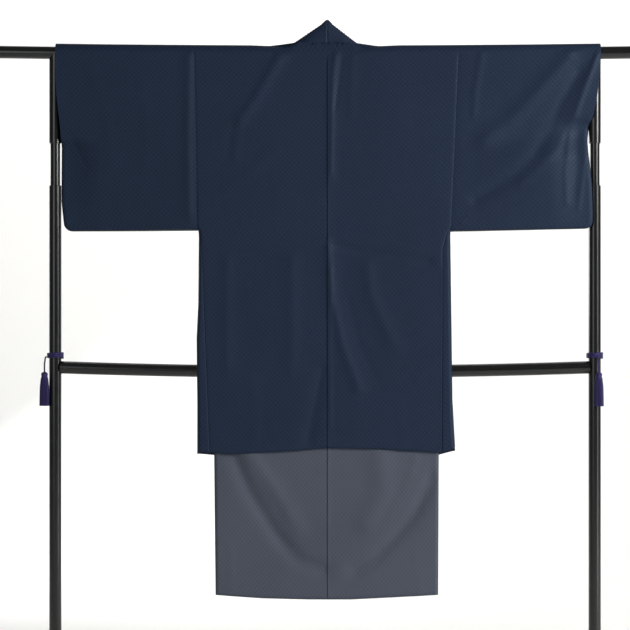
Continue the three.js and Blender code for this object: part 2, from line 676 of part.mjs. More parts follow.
// Round bar along a curve in the X-Z plane
function bar(radius, from, to, heightAt, steps) {
  const points = [];
  for (let i = 0; i <= steps; i++) {
    const x = lerp(from, to, i / steps);
    points.push(new THREE.Vector3(x, 0, heightAt(x)));
  }
  const section = new THREE.Shape();
  section.absarc(0, 0, radius, 0, 2 * Math.PI);
  return new THREE.ExtrudeGeometry(section, {
    steps,
    bevelEnabled: false,
    curveSegments: 7,
    extrudePath: new THREE.CatmullRomCurve3(points),
  });
}

// Turned solid standing on +Z at x and y: profile pairs are radius and height
function turned(profile, sides, x, y) {
  const geometry = new THREE.LatheGeometry(
    profile.map(([radius, height]) => new THREE.Vector2(radius, height)),
    sides,
  );
  return geometry.rotateX(Math.PI / 2).translate(x, y, 0);
}

// Closed geometry as a solid that can be cut
function solidFrom(geometry) {
  const plain = geometry.clone();
  plain.deleteAttribute("normal");
  plain.deleteAttribute("uv");
  const merged = mergeVertices(plain, 1e-3);
  return new wasm.Manifold(
    new wasm.Mesh({
      numProp: 3,
      vertProperties: merged.attributes.position.array,
      triVerts: new Uint32Array(merged.index.array),
    }),
  );
}

function cut(geometry, tool) {
  const result = solidFrom(geometry).subtract(solidFrom(tool)).getMesh();
  const made = new THREE.BufferGeometry();
  made.setAttribute("position", new THREE.BufferAttribute(result.vertProperties, 3));
  made.setIndex(new THREE.BufferAttribute(result.triVerts, 1));
  return made;
}

// Rod, its end caps, and the mid bar whose ends are hollowed to fit the uprights
function addBars() {
  addPiece(stand, "rod", bar(ROD.radius, -ROD.half, ROD.half, rodZ, 10), MATERIALS.steel);
  for (const sign of [-1, 1]) {
    const { capRadius, capLength, capEdge } = ROD;
    const profile = [
      [0, GAP],
      [capRadius, GAP],
      [capRadius, capLength - capEdge],
      [capRadius - capEdge, capLength],
      [0, capLength],
    ];
    const cap = turned(profile, 16, 0, 0);
    cap.rotateY((sign * Math.PI) / 2).translate(sign * ROD.half, 0, ROD.height);
    addPiece(stand, `rod_cap_${sideName(sign)}`, cap, MATERIALS.rubber);
  }
  let middle = bar(MID_BAR.radius, -UPRIGHT.x, UPRIGHT.x, barZ, 8);
  for (const sign of [-1, 1]) {
    const reach = UPRIGHT.radius + GAP;
    const tool = new THREE.CylinderGeometry(reach, reach, 80, 32).rotateX(Math.PI / 2);
    middle = cut(middle, tool.translate(sign * UPRIGHT.x, 0, MID_BAR.height));
  }
  addPiece(stand, "mid_bar", middle, MATERIALS.steel);
}

// One telescopic upright: lower tube, the thinner tube that slides in it, and the upper tube
// whose top is hollowed to fit under the rod
function addUpright(sign) {
  const { x, radius, innerRadius, lowerTop, upperBottom } = UPRIGHT;
  const name = sideName(sign);
  const at = sign * x;
  const bore = innerRadius + GAP;
  const foot = PAD.height + FOOT.height + 2 * GAP;
  const socketFloor = lowerTop - SOCKET.depth;
  const socketRoof = upperBottom + SOCKET.depth;
  const lowerProfile = [
    [0, foot],
    [radius, foot],
    [radius, lowerTop],
    [bore, lowerTop],
    [bore, socketFloor],
    [0, socketFloor],
  ];
  const lower = turned(lowerProfile, SOCKET.sides, at, 0);
  addPiece(stand, `upright_lower_${name}`, lower, MATERIALS.steel);
  const innerProfile = [
    [0, socketFloor + GAP],
    [innerRadius, socketFloor + GAP],
    [innerRadius, socketRoof - GAP],
    [0, socketRoof - GAP],
  ];
  const inner = turned(innerProfile, SOCKET.sides, at, 0);
  addPiece(stand, `upright_inner_${name}`, inner, MATERIALS.steel);
  const upperProfile = [
    [0, socketRoof],
    [bore, socketRoof],
    [bore, upperBottom],
    [radius, upperBottom],
    [radius, rodZ(x)],
    [0, rodZ(x)],
  ];
  const upper = turned(upperProfile, SOCKET.sides, at, 0);
  const reach = ROD.radius + GAP;
  const saddle = new THREE.CylinderGeometry(reach, reach, 80, 32).rotateZ(Math.PI / 2);
  addPiece(stand, `upright_upper_${name}`, cut(upper, saddle.translate(at, 0, rodZ(x))), MATERIALS.steel);
}

// One foot: a bar from front to back on two pads, with a ring round the upright's end
function addFoot(sign) {
  const name = sideName(sign);
  const at = sign * UPRIGHT.x;
  const { half, width, height, corner, padInset } = FOOT;
  const outline = new THREE.Shape();
  outline.absarc(half - width / 2, 0, width / 2, -Math.PI / 2, Math.PI / 2);
  outline.absarc(-half + width / 2, 0, width / 2, Math.PI / 2, (3 * Math.PI) / 2);
  const foot = new THREE.ExtrudeGeometry(outline, {
    depth: height - corner,
    curveSegments: 6,
    bevelThickness: corner / 2,
    bevelSize: corner / 2,
    bevelOffset: -corner / 2,
    bevelSegments: 1,
  });
  foot.rotateZ(Math.PI / 2).translate(at, 0, PAD.height + GAP + corner / 2);
  addPiece(stand, `foot_${name}`, foot, MATERIALS.steel);
  const ringBottom = PAD.height + height + 2 * GAP;
  const ringTop = ringBottom + COLLAR_RING.height;
  const bore = UPRIGHT.radius + GAP;
  const { radius, chamfer } = COLLAR_RING;
  const ringProfile = [
    [bore, ringBottom],
    [radius, ringBottom],
    [radius, ringTop - chamfer],
    [radius - chamfer, ringTop],
    [bore, ringTop],
    [bore, ringBottom],
  ];
  addPiece(stand, `foot_ring_${name}`, turned(ringProfile, 16, at, 0), MATERIALS.steel);
  const padProfile = [
    [0, 0],
    [PAD.radius - PAD.edge, 0],
    [PAD.radius, PAD.edge],
    [PAD.radius, PAD.height],
    [0, PAD.height],
  ];
  for (const end of [-1, 1]) {
    const pad = turned(padProfile, 12, at, end * (half - padInset));
    addPiece(stand, `foot_pad_${name}_${end < 0 ? "back" : "front"}`, pad, MATERIALS.rubber);
  }
}

// Purple cord wound round the upright above the mid bar, and the tassel that hangs from it
function addTassel(sign) {
  const name = sideName(sign);
  const at = sign * UPRIGHT.x;
  const bore = UPRIGHT.radius + GAP;
  const profile = [[bore, WRAP.bottom]];
  for (let turn = 0; turn < WRAP.turns; turn++) {
    const low = WRAP.bottom + turn * WRAP.cord;
    profile.push([bore + WRAP.groove, low], [bore + WRAP.cord, low + WRAP.cord / 2]);
  }
  const top = WRAP.bottom + WRAP.turns * WRAP.cord;
  profile.push([bore + WRAP.groove, top], [bore, top], [bore, WRAP.bottom]);
  addPiece(stand, `cord_wrap_${name}`, turned(profile, 16, at, 0), MATERIALS.cord);
  addPiece(stand, `tassel_${name}`, tassel(sign), MATERIALS.cord);
}

function tassel(sign) {
  const { headTop, headRadius, headLength, skirt, strands, neckRadius } = TASSEL;
  const headBottom = headTop - headLength;
  const centre = TASSEL_PLACE[sideName(sign)];
  const headProfile = [
    [0, headBottom],
    [headRadius - 1, headBottom],
    [headRadius, headBottom + 4],
    [headRadius, headTop - 5],
    [neckRadius + 2, headTop],
    [0, headTop],
  ];
  const head = turned(headProfile, 12, centre.x, centre.y);
  const toUpright = new THREE.Vector3(sign * UPRIGHT.x - centre.x, -centre.y, 0).normalize();
  const wrapReach = UPRIGHT.radius + WRAP.cord + WRAP.clear;
  const wrapPoint = new THREE.Vector3(sign * UPRIGHT.x, 0, WRAP.bottom + WRAP.cord);
  wrapPoint.addScaledVector(toUpright, -wrapReach);
  const neckPath = new THREE.CatmullRomCurve3([
    new THREE.Vector3(centre.x, centre.y, headTop - 3),
    new THREE.Vector3(centre.x, centre.y, WRAP.bottom - 2 * WRAP.cord),
    wrapPoint,
  ]);
  const neckSection = new THREE.Shape();
  neckSection.absarc(0, 0, neckRadius, 0, 2 * Math.PI);
  const neck = new THREE.ExtrudeGeometry(neckSection, {
    steps: 5,
    bevelEnabled: false,
    curveSegments: 3,
    extrudePath: neckPath,
  });
  let whole = solidFrom(head).add(solidFrom(neck));
  for (let i = 0; i < strands; i++) {
    const turn = (2 * Math.PI * i) / strands;
    const [inner, outer] = STRAND_RINGS[i % 2];
    const length = skirt - 4 * (i % 3);
    const strand = new THREE.CylinderGeometry(1.1, 0.9, length, 3, 1).rotateX(Math.PI / 2);
    strand.translate(0, 0, -length / 2 + 2);
    const lean = Math.atan((outer - inner) / length);
    strand.rotateY(-lean).translate(inner, 0, 0).rotateZ(turn);
    strand.translate(centre.x, centre.y, headBottom);
    whole = whole.add(solidFrom(strand));
  }
  const result = whole.getMesh();
  const made = new THREE.BufferGeometry();
  made.setAttribute("position", new THREE.BufferAttribute(result.vertProperties, 3));
  made.setIndex(new THREE.BufferAttribute(result.triVerts, 1));
  return made;
}

addBars();
for (const sign of [-1, 1]) {
  addUpright(sign);
  addFoot(sign);
  addTassel(sign);
}

export default whole;
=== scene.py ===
import bpy
import bmesh
from math import cos, exp, hypot, pi, radians, sin, sqrt
from mathutils import Matrix, Vector, noise


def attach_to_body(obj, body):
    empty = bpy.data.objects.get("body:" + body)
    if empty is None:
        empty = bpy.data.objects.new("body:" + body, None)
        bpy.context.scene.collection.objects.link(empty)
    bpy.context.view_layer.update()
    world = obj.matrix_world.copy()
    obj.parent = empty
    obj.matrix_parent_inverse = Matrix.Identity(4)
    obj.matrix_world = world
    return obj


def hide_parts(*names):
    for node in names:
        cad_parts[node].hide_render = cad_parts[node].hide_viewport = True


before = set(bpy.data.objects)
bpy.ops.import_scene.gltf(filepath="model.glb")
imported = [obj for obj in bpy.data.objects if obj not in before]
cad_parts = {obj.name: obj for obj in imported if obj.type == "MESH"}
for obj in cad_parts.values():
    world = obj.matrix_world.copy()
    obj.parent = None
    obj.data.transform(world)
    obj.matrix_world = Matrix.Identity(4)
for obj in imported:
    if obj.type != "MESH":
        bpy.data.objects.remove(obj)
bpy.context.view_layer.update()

# Camera: level, square to the garments' backs, a little left of the middle and at the height
# of a person's chest, far enough back that the uprights stay parallel.
MM = 0.001
VIEW_DISTANCE = 5.0
PICTURE_WIDTH = 1.619
camera_data = bpy.data.cameras.new("camera")
camera_data.sensor_width = 36.0
camera_data.lens = camera_data.sensor_width * VIEW_DISTANCE / PICTURE_WIDTH
camera = bpy.data.objects.new("camera", camera_data)
camera.location = (-0.0257, -VIEW_DISTANCE, 0.924)
camera.rotation_euler = (radians(90), 0, 0)
bpy.context.collection.objects.link(camera)
bpy.context.scene.camera = camera


# Studio: a pale floor that sweeps up into a backdrop, which is clear from behind so that the
# fronts can be looked at too. A broad key light stands high on the right with a narrow strip
# below it, a weaker fill on the left, a light on the backdrop and a weak one for the fronts.
def plain_material(name, colour, roughness):
    made = bpy.data.materials.new(name)
    made.use_nodes = True
    shader = made.node_tree.nodes["Principled BSDF"]
    shader.inputs["Base Color"].default_value = (*colour, 1)
    shader.inputs["Roughness"].default_value = roughness
    return made


def clear_from_behind(material):
    """Paper that only shows its face."""
    nodes, links = material.node_tree.nodes, material.node_tree.links
    side = nodes.new("ShaderNodeNewGeometry")
    clear = nodes.new("ShaderNodeBsdfTransparent")
    either = nodes.new("ShaderNodeMixShader")
    links.new(side.outputs["Backfacing"], either.inputs["Fac"])
    links.new(nodes["Principled BSDF"].outputs["BSDF"], either.inputs[1])
    links.new(clear.outputs["BSDF"], either.inputs[2])
    links.new(either.outputs["Shader"], nodes["Material Output"].inputs["Surface"])
    return material


def sweep_backdrop():
    half_width, front, back, height, bend = 7.0, -7.0, 3.2, 5.0, 1.2
    shape = bmesh.new()
    profile = [Vector((-half_width, front, 0))]
    for step in range(13):
        turn = radians(90) * step / 12
        y, z = back - bend + bend * sin(turn), bend - bend * cos(turn)
        profile.append(Vector((-half_width, y, z)))
    profile.append(Vector((-half_width, back, height)))
    verts = [shape.verts.new(point) for point in profile]
    edges = [shape.edges.new(pair) for pair in zip(verts, verts[1:])]
    wide = bmesh.ops.extrude_edge_only(shape, edges=edges)
    moved = [part for part in wide["geom"] if isinstance(part, bmesh.types.BMVert)]
    bmesh.ops.translate(shape, verts=moved, vec=(2 * half_width, 0, 0))
    shape.normal_update()
    floor = max(shape.faces, key=lambda face: abs(face.normal.z))
    if floor.normal.z < 0:
        bmesh.ops.reverse_faces(shape, faces=shape.faces)
    mesh = bpy.data.meshes.new("backdrop")
    shape.to_mesh(mesh)
    shape.free()
    for face in mesh.polygons:
        face.use_smooth = True
    backdrop = bpy.data.objects.new("backdrop", mesh)
    bpy.context.collection.objects.link(backdrop)
    paper = plain_material("studio_paper", (0.86, 0.85, 0.83), 0.9)
    mesh.materials.append(clear_from_behind(paper))


def area_light(name, place, target, size, power, colour=(1, 1, 1)):
    data = bpy.data.lights.new(name, "AREA")
    data.shape = "RECTANGLE"
    data.size, data.size_y = size
    data.energy = power
    data.color = colour
    lamp = bpy.data.objects.new(name, data)
    lamp.location = place
    lamp.rotation_euler = (Vector(target) - Vector(place)).to_track_quat("-Z", "Y").to_euler()
    bpy.context.collection.objects.link(lamp)


sweep_backdrop()
area_light("key", (3.5, -2.5, 2.5), (0.1, 0, 1.1), (1.3, 1.3), 165, (0.98, 1, 1))
area_light("fill", (-2.4, -4.6, 1.7), (0, 0, 1.0), (2.4, 2.4), 34, (0.94, 0.97, 1))
area_light("window_strip", (1.75, -0.75, 0.95), (0, 0, 0.95), (0.12, 1.9), 7, (0.97, 1, 1))
area_light("backdrop_light", (0, 0.9, 3.1), (0, 3.2, 1.5), (6.0, 0.6), 85)
area_light("front_fill", (-1.6, 2.6, 1.5), (0, 0, 1.0), (1.2, 1.2), 40)
world = bpy.data.worlds.new("studio_air")
bpy.context.scene.world = world
world.use_nodes = True
world.node_tree.nodes["Background"].inputs["Color"].default_value = (0.95, 0.97, 1, 1)
world.node_tree.nodes["Background"].inputs["Strength"].default_value = 0.14
bpy.context.scene.view_settings.view_transform = "Standard"


# Steel tubes of the stand: thin-walled tube, painted black. The paint is semi-gloss, with faint
# rub marks, a little orange peel and dust that lies on upward faces.
def finish_piece(shape, name, material):
    mesh = bpy.data.meshes.new(name)
    shape.to_mesh(mesh)
    shape.free()
    for face in mesh.polygons:
        face.use_smooth = True
    mesh.materials.append(material)
    made = bpy.data.objects.new(name, mesh)
    bpy.context.collection.objects.link(made)
    return made


def attach(piece, slot_name, *nodes):
    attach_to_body(piece, "root")
    if nodes:
        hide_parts(*nodes)


def calculated(tree, kind, first, second=None):
    """One arithmetic step on sockets or numbers."""
    node = tree.nodes.new("ShaderNodeMath")
    node.operation = kind
    for socket, value in zip(node.inputs, (first, second)):
        if isinstance(value, (int, float)):
            socket.default_value = value
        elif value is not None:
            tree.links.new(value, socket)
    return node.outputs["Value"]


def ranged(tree, source, taken, given):
    """A socket's values mapped from one range to another, and held inside it."""
    node = tree.nodes.new("ShaderNodeMapRange")
    for name, value in zip(("From Min", "From Max", "To Min", "To Max"), (*taken, *given)):
        node.inputs[name].default_value = value
    tree.links.new(source, node.inputs["Value"])
    return node.outputs["Result"]


def bumped(tree, height, strength, distance):
    """The shader's normal, tilted by a height."""
    bump = tree.nodes.new("ShaderNodeBump")
    bump.inputs["Strength"].default_value = strength
    bump.inputs["Distance"].default_value = distance
    tree.links.new(height, bump.inputs["Height"])
    tree.links.new(bump.outputs["Normal"], tree.nodes["Principled BSDF"].inputs["Normal"])


def dust_group():
    group = bpy.data.node_groups.new("dust_and_rub", "ShaderNodeTree")
    group.interface.new_socket("Base", in_out="INPUT", socket_type="NodeSocketColor")
    group.interface.new_socket("Dust", in_out="INPUT", socket_type="NodeSocketColor")
    group.interface.new_socket("Amount", in_out="INPUT", socket_type="NodeSocketFloat")
    group.interface.new_socket("Colour", in_out="OUTPUT", socket_type="NodeSocketColor")
    group.interface.new_socket("Roughness", in_out="OUTPUT", socket_type="NodeSocketFloat")
    nodes, links = group.nodes, group.links
    given = nodes.new("NodeGroupInput")
    result = nodes.new("NodeGroupOutput")
    place = nodes.new("ShaderNodeTexCoord")
    specks = nodes.new("ShaderNodeTexNoise")
    specks.inputs["Scale"].default_value = 38
    specks.inputs["Detail"].default_value = 6
    links.new(place.outputs["Object"], specks.inputs["Vector"])
    facing = nodes.new("ShaderNodeNewGeometry")
    parts = nodes.new("ShaderNodeSeparateXYZ")
    links.new(facing.outputs["Normal"], parts.inputs["Vector"])
    upward = ranged(group, parts.outputs["Z"], (0.2, 1), (0, 1))
    lying = calculated(group, "MULTIPLY", upward, specks.outputs["Fac"])
    amount = calculated(group, "MULTIPLY", lying, given.outputs["Amount"])
    mixed = nodes.new("ShaderNodeMix")
    mixed.data_type = "RGBA"
    links.new(amount, mixed.inputs["Factor"])
    links.new(given.outputs["Base"], mixed.inputs["A"])
    links.new(given.outputs["Dust"], mixed.inputs["B"])
    links.new(mixed.outputs["Result"], result.inputs["Colour"])
    rough = ranged(group, specks.outputs["Fac"], (0, 1), (0.16, 0.3))
    links.new(rough, result.inputs["Roughness"])
    return group


def painted_steel():
    made = bpy.data.materials.new("black_paint")
    made.use_nodes = True
    nodes, links = made.node_tree.nodes, made.node_tree.links
    shader = nodes["Principled BSDF"]
    rim = nodes.new("ShaderNodeLayerWeight")
    gloss = ranged(made.node_tree, rim.outputs["Facing"], (0.4, 0.85), (0.6, 0))
    links.new(gloss, shader.inputs["Specular IOR Level"])
    wear = nodes.new("ShaderNodeGroup")
    wear.node_tree = dust_group()
    wear.inputs["Base"].default_value = (0.0035, 0.0035, 0.0033, 1)
    wear.inputs["Dust"].default_value = (0.16, 0.15, 0.14, 1)
    wear.inputs["Amount"].default_value = 0.05
    links.new(wear.outputs["Colour"], shader.inputs["Base Color"])
    links.new(wear.outputs["Roughness"], shader.inputs["Roughness"])
    place = nodes.new("ShaderNodeTexCoord")
    peel = nodes.new("ShaderNodeTexNoise")
    peel.inputs["Scale"].default_value = 420
    links.new(place.outputs["Object"], peel.inputs["Vector"])
    bumped(made.node_tree, peel.outputs["Fac"], 0.08, 0.0004)
    return made


black_paint = painted_steel()
ROD_HEIGHT, ROD_RADIUS, ROD_HALF, ROD_SAG = 1600, 16, 860, 7
BAR_HEIGHT, BAR_RADIUS, BAR_SAG = 790, 16, 12
UPRIGHT_X, UPRIGHT_RADIUS, INNER_RADIUS = 693, 15.5, 12.5
LOWER_TOP, UPPER_BOTTOM = 1257, 1365
FOOT_HALF, FOOT_WIDTH, FOOT_HEIGHT, PAD_HEIGHT = 230, 36, 24, 6


def rod_z(x):
    return ROD_HEIGHT - ROD_SAG * (1 - (x / ROD_HALF) ** 2)


def bar_z(x):
    return BAR_HEIGHT - BAR_SAG * (1 - (x / UPRIGHT_X) ** 2)


def swept_tube(path, radius, sides=40):
    """A tube along points in millimetres, with flat ends."""
    shape = bmesh.new()
    rings = []
    for index, point in enumerate(path):
        before = path[max(index - 1, 0)]
        after = path[min(index + 1, len(path) - 1)]
        turn = (after - before).to_track_quat("Z", "Y").to_matrix().to_4x4()
        place = Matrix.Scale(MM, 4) @ Matrix.Translation(point) @ turn
        ring = bmesh.ops.create_circle(
            shape, cap_ends=False, segments=sides, radius=radius, matrix=place
        )
        rings.append(ring["verts"])
    for low, high in zip(rings, rings[1:]):
        for k in range(sides):
            shape.faces.new((low[k], low[(k + 1) % sides], high[(k + 1) % sides], high[k]))
    shape.faces.new(rings[0][::-1])
    shape.faces.new(rings[-1])
    bmesh.ops.recalc_face_normals(shape, faces=shape.faces)
    return shape


def turned_shape(profile, x, y, sides=40):
    """A turned solid from radius and height pairs in millimetres, standing at x and y."""
    shape = bmesh.new()
    verts = [shape.verts.new((x * MM + r * MM, y * MM, z * MM)) for r, z in profile]
    edges = [shape.edges.new(pair) for pair in zip(verts, verts[1:])]
    bmesh.ops.spin(
        shape, geom=verts + edges, cent=(x * MM, y * MM, 0), axis=(0, 0, 1), angle=2 * pi,
        steps=sides, use_merge=True,
    )
    bmesh.ops.remove_doubles(shape, verts=shape.verts, dist=1e-6)
    bmesh.ops.recalc_face_normals(shape, faces=shape.faces)
    return shape


def smooth_by_angle(piece, degrees=35):
    for edge in piece.data.edges:
        edge.use_edge_sharp = False
    piece.data.set_sharp_from_angle(angle=radians(degrees))


def hard_piece(shape, name, material, slot_name, node, degrees=35):
    piece = finish_piece(shape, name, material)
    smooth_by_angle(piece, degrees)
    attach(piece, slot_name, node)


def bar_path(half, height_at, steps=24):
    """Points along a bar from end to end, each at the height that its sag leaves."""
    places = [-half + 2 * half * i / steps for i in range(steps + 1)]
    return [Vector((x, 0, height_at(x))) for x in places]


rod = swept_tube(bar_path(ROD_HALF, rod_z), ROD_RADIUS)
hard_piece(rod, "rod_tube", black_paint, "black_steel", "rod")
bar_end = UPRIGHT_X - UPRIGHT_RADIUS + 2
mid_bar = swept_tube(bar_path(bar_end, bar_z), BAR_RADIUS)
hard_piece(mid_bar, "mid_bar_tube", black_paint, "black_steel", "mid_bar")


# Uprights: painted steel, each a lower tube and an upper tube of the same size, with the thinner
# tube that slides inside them showing between. A rolled lip closes each outer tube's end.
LIP, MOUTH_RADIUS, MOUTH_DEPTH, HIDDEN_SLIDE = 1.2, INNER_RADIUS + 0.3, 8, 40
for sign, side in ((-1, "left"), (1, "right")):
    at = sign * UPRIGHT_X
    foot_top = PAD_HEIGHT + FOOT_HEIGHT + 1
    lower = [
        (0, foot_top), (UPRIGHT_RADIUS, foot_top), (UPRIGHT_RADIUS, LOWER_TOP - LIP),
        (UPRIGHT_RADIUS - LIP, LOWER_TOP), (MOUTH_RADIUS, LOWER_TOP),
        (MOUTH_RADIUS, LOWER_TOP - MOUTH_DEPTH),
    ]
    slide_low, slide_high = LOWER_TOP - HIDDEN_SLIDE, UPPER_BOTTOM + HIDDEN_SLIDE
    inner = [(0, slide_low), (INNER_RADIUS, slide_low), (INNER_RADIUS, slide_high), (0, slide_high)]
    top = rod_z(at) - 4
    upper = [
        (MOUTH_RADIUS, UPPER_BOTTOM + MOUTH_DEPTH), (MOUTH_RADIUS, UPPER_BOTTOM),
        (UPRIGHT_RADIUS - LIP, UPPER_BOTTOM), (UPRIGHT_RADIUS, UPPER_BOTTOM + LIP),
        (UPRIGHT_RADIUS, top), (0, top),
    ]
    for word, profile in (("lower", lower), ("inner", inner), ("upper", upper)):
        tube = turned_shape(profile, at, 0)
        name, node = f"upright_{word}_tube_{side}", f"upright_{word}_{side}"
        hard_piece(tube, name, black_paint, "black_steel", node)


# Feet: a painted steel bar from front to back with rounded ends, and a ring that holds the
# upright. Rubber pads are pressed in below, and rubber caps over the rod's ends.
def rubber():
    made = bpy.data.materials.new("black_rubber")
    made.use_nodes = True
    nodes, links = made.node_tree.nodes, made.node_tree.links
    shader = nodes["Principled BSDF"]
    shader.inputs["Specular IOR Level"].default_value = 0.3
    wear = nodes.new("ShaderNodeGroup")
    wear.node_tree = bpy.data.node_groups["dust_and_rub"]
    wear.inputs["Base"].default_value = (0.02, 0.02, 0.02, 1)
    wear.inputs["Dust"].default_value = (0.2, 0.19, 0.18, 1)
    wear.inputs["Amount"].default_value = 0.35
    links.new(wear.outputs["Colour"], shader.inputs["Base Color"])
    rough = calculated(made.node_tree, "ADD", wear.outputs["Roughness"], 0.4)
    links.new(rough, shader.inputs["Roughness"])
    return made


black_rubber = rubber()
FOOT_ROUNDING, RING_RADIUS, RING_HEIGHT, PAD_FROM_END = 5, 22, 42, 24
for sign, side in ((-1, "left"), (1, "right")):
    at = sign * UPRIGHT_X
    shape = bmesh.new()
    ends = []
    for end in (1, -1):
        for step in range(13):
            turn = radians(-90 + 180 * step / 12) + (0 if end > 0 else pi)
            reach = FOOT_WIDTH / 2
            x, y = at - reach * sin(turn), end * (FOOT_HALF - reach) + reach * cos(turn)
            ends.append((x * MM, y * MM, (PAD_HEIGHT + 0.4) * MM))
    outline = shape.faces.new([shape.verts.new(point) for point in ends])
    raised = bmesh.ops.extrude_face_region(shape, geom=[outline])
    moved = [part for part in raised["geom"] if isinstance(part, bmesh.types.BMVert)]
    bmesh.ops.translate(shape, verts=moved, vec=(0, 0, FOOT_HEIGHT * MM))
    rims = [edge for edge in shape.edges if abs(edge.verts[0].co.z - edge.verts[1].co.z) < 1e-6]
    bmesh.ops.bevel(
        shape, geom=rims, offset=FOOT_ROUNDING * MM, offset_type="OFFSET", segments=4, profile=0.5,
        affect="EDGES", material=-1,
    )
    bmesh.ops.recalc_face_normals(shape, faces=shape.faces)
    hard_piece(shape, f"foot_bar_{side}", black_paint, "black_steel", f"foot_{side}")
    low = PAD_HEIGHT + FOOT_HEIGHT + 0.8
    high, bore = low + RING_HEIGHT, UPRIGHT_RADIUS + 0.4
    ring = [
        (bore, low), (RING_RADIUS - 0.5, low), (RING_RADIUS, low + 0.6), (RING_RADIUS, high - 4),
        (RING_RADIUS - 1, high - 2), (RING_RADIUS - 3.5, high), (bore + 0.4, high),
        (bore, high - 0.8), (bore, low),
    ]
    socket = turned_shape(ring, at, 0)
    hard_piece(socket, f"foot_socket_{side}", black_paint, "black_steel", f"foot_ring_{side}")
    for end, word in ((-1, "back"), (1, "front")):
        pad = [
            (0, 0), (12.6, 0), (13.6, 0.6), (14, 1.6), (14, PAD_HEIGHT - 0.6),
            (13.4, PAD_HEIGHT), (0, PAD_HEIGHT),
        ]
        shape = turned_shape(pad, at, end * (FOOT_HALF - PAD_FROM_END))
        name, node = f"rubber_pad_{side}_{word}", f"foot_pad_{side}_{word}"
        hard_piece(shape, name, black_rubber, "black_rubber", node)
    cap = [(0, 0.4), (17.5, 0.4), (17.5, 10), (16.8, 12.4), (14.5, 14), (0, 14)]
    shape = turned_shape(cap, 0, 0)
    sideways = Matrix.Rotation(sign * pi / 2, 3, "Y")
    bmesh.ops.rotate(shape, verts=shape.verts, cent=(0, 0, 0), matrix=sideways)
    bmesh.ops.translate(shape, verts=shape.verts, vec=(sign * ROD_HALF * MM, 0, ROD_HEIGHT * MM))
    hard_piece(shape, f"rod_end_cap_{side}", black_rubber, "black_rubber", f"rod_cap_{side}")


# Tassels: purple silk cord is wound three times round each upright above the mid bar. A tassel
# of cut strands, bound at the neck over a solid core, hangs from it.
def purple_cord():
    made = bpy.data.materials.new("purple_silk")
    made.use_nodes = True
    nodes, links = made.node_tree.nodes, made.node_tree.links
    shader = nodes["Principled BSDF"]
    shader.inputs["Roughness"].default_value = 0.55
    place = nodes.new("ShaderNodeTexCoord")
    shades = nodes.new("ShaderNodeTexNoise")
    shades.inputs["Scale"].default_value = 260
    links.new(place.outputs["Object"], shades.inputs["Vector"])
    colours = nodes.new("ShaderNodeValToRGB")
    colours.color_ramp.elements[0].position = 0.3
    colours.color_ramp.elements[0].color = (0.005, 0.0012, 0.036, 1)
    colours.color_ramp.elements[1].position = 0.75
    colours.color_ramp.elements[1].color = (0.017, 0.004, 0.125, 1)
    links.new(shades.outputs["Fac"], colours.inputs["Fac"])
    links.new(colours.outputs["Color"], shader.inputs["Base Color"])
    ply = nodes.new("ShaderNodeTexWave")
    ply.bands_direction = "DIAGONAL"
    ply.inputs["Scale"].default_value = 420
    ply.inputs["Distortion"].default_value = 1.5
    links.new(place.outputs["Object"], ply.inputs["Vector"])
    bumped(made.node_tree, ply.outputs["Fac"], 0.5, 0.0005)
    return made


def mix(a, b, part):
    return a + (b - a) * part


purple_silk = purple_cord()
WRAP_BOTTOM, WRAP_CORD, WRAP_TURNS = 811, 6, 3
HEAD_TOP, HEAD_LENGTH, SKIRT = 778, 18, 74
TASSEL_PLACE = {"left": (-719.5, -10), "right": (699, -31)}
STRANDS, STRAND_RADIUS, LOOP_RADIUS, GOLDEN_TURN = 160, 0.85, 2.1, 2.39996

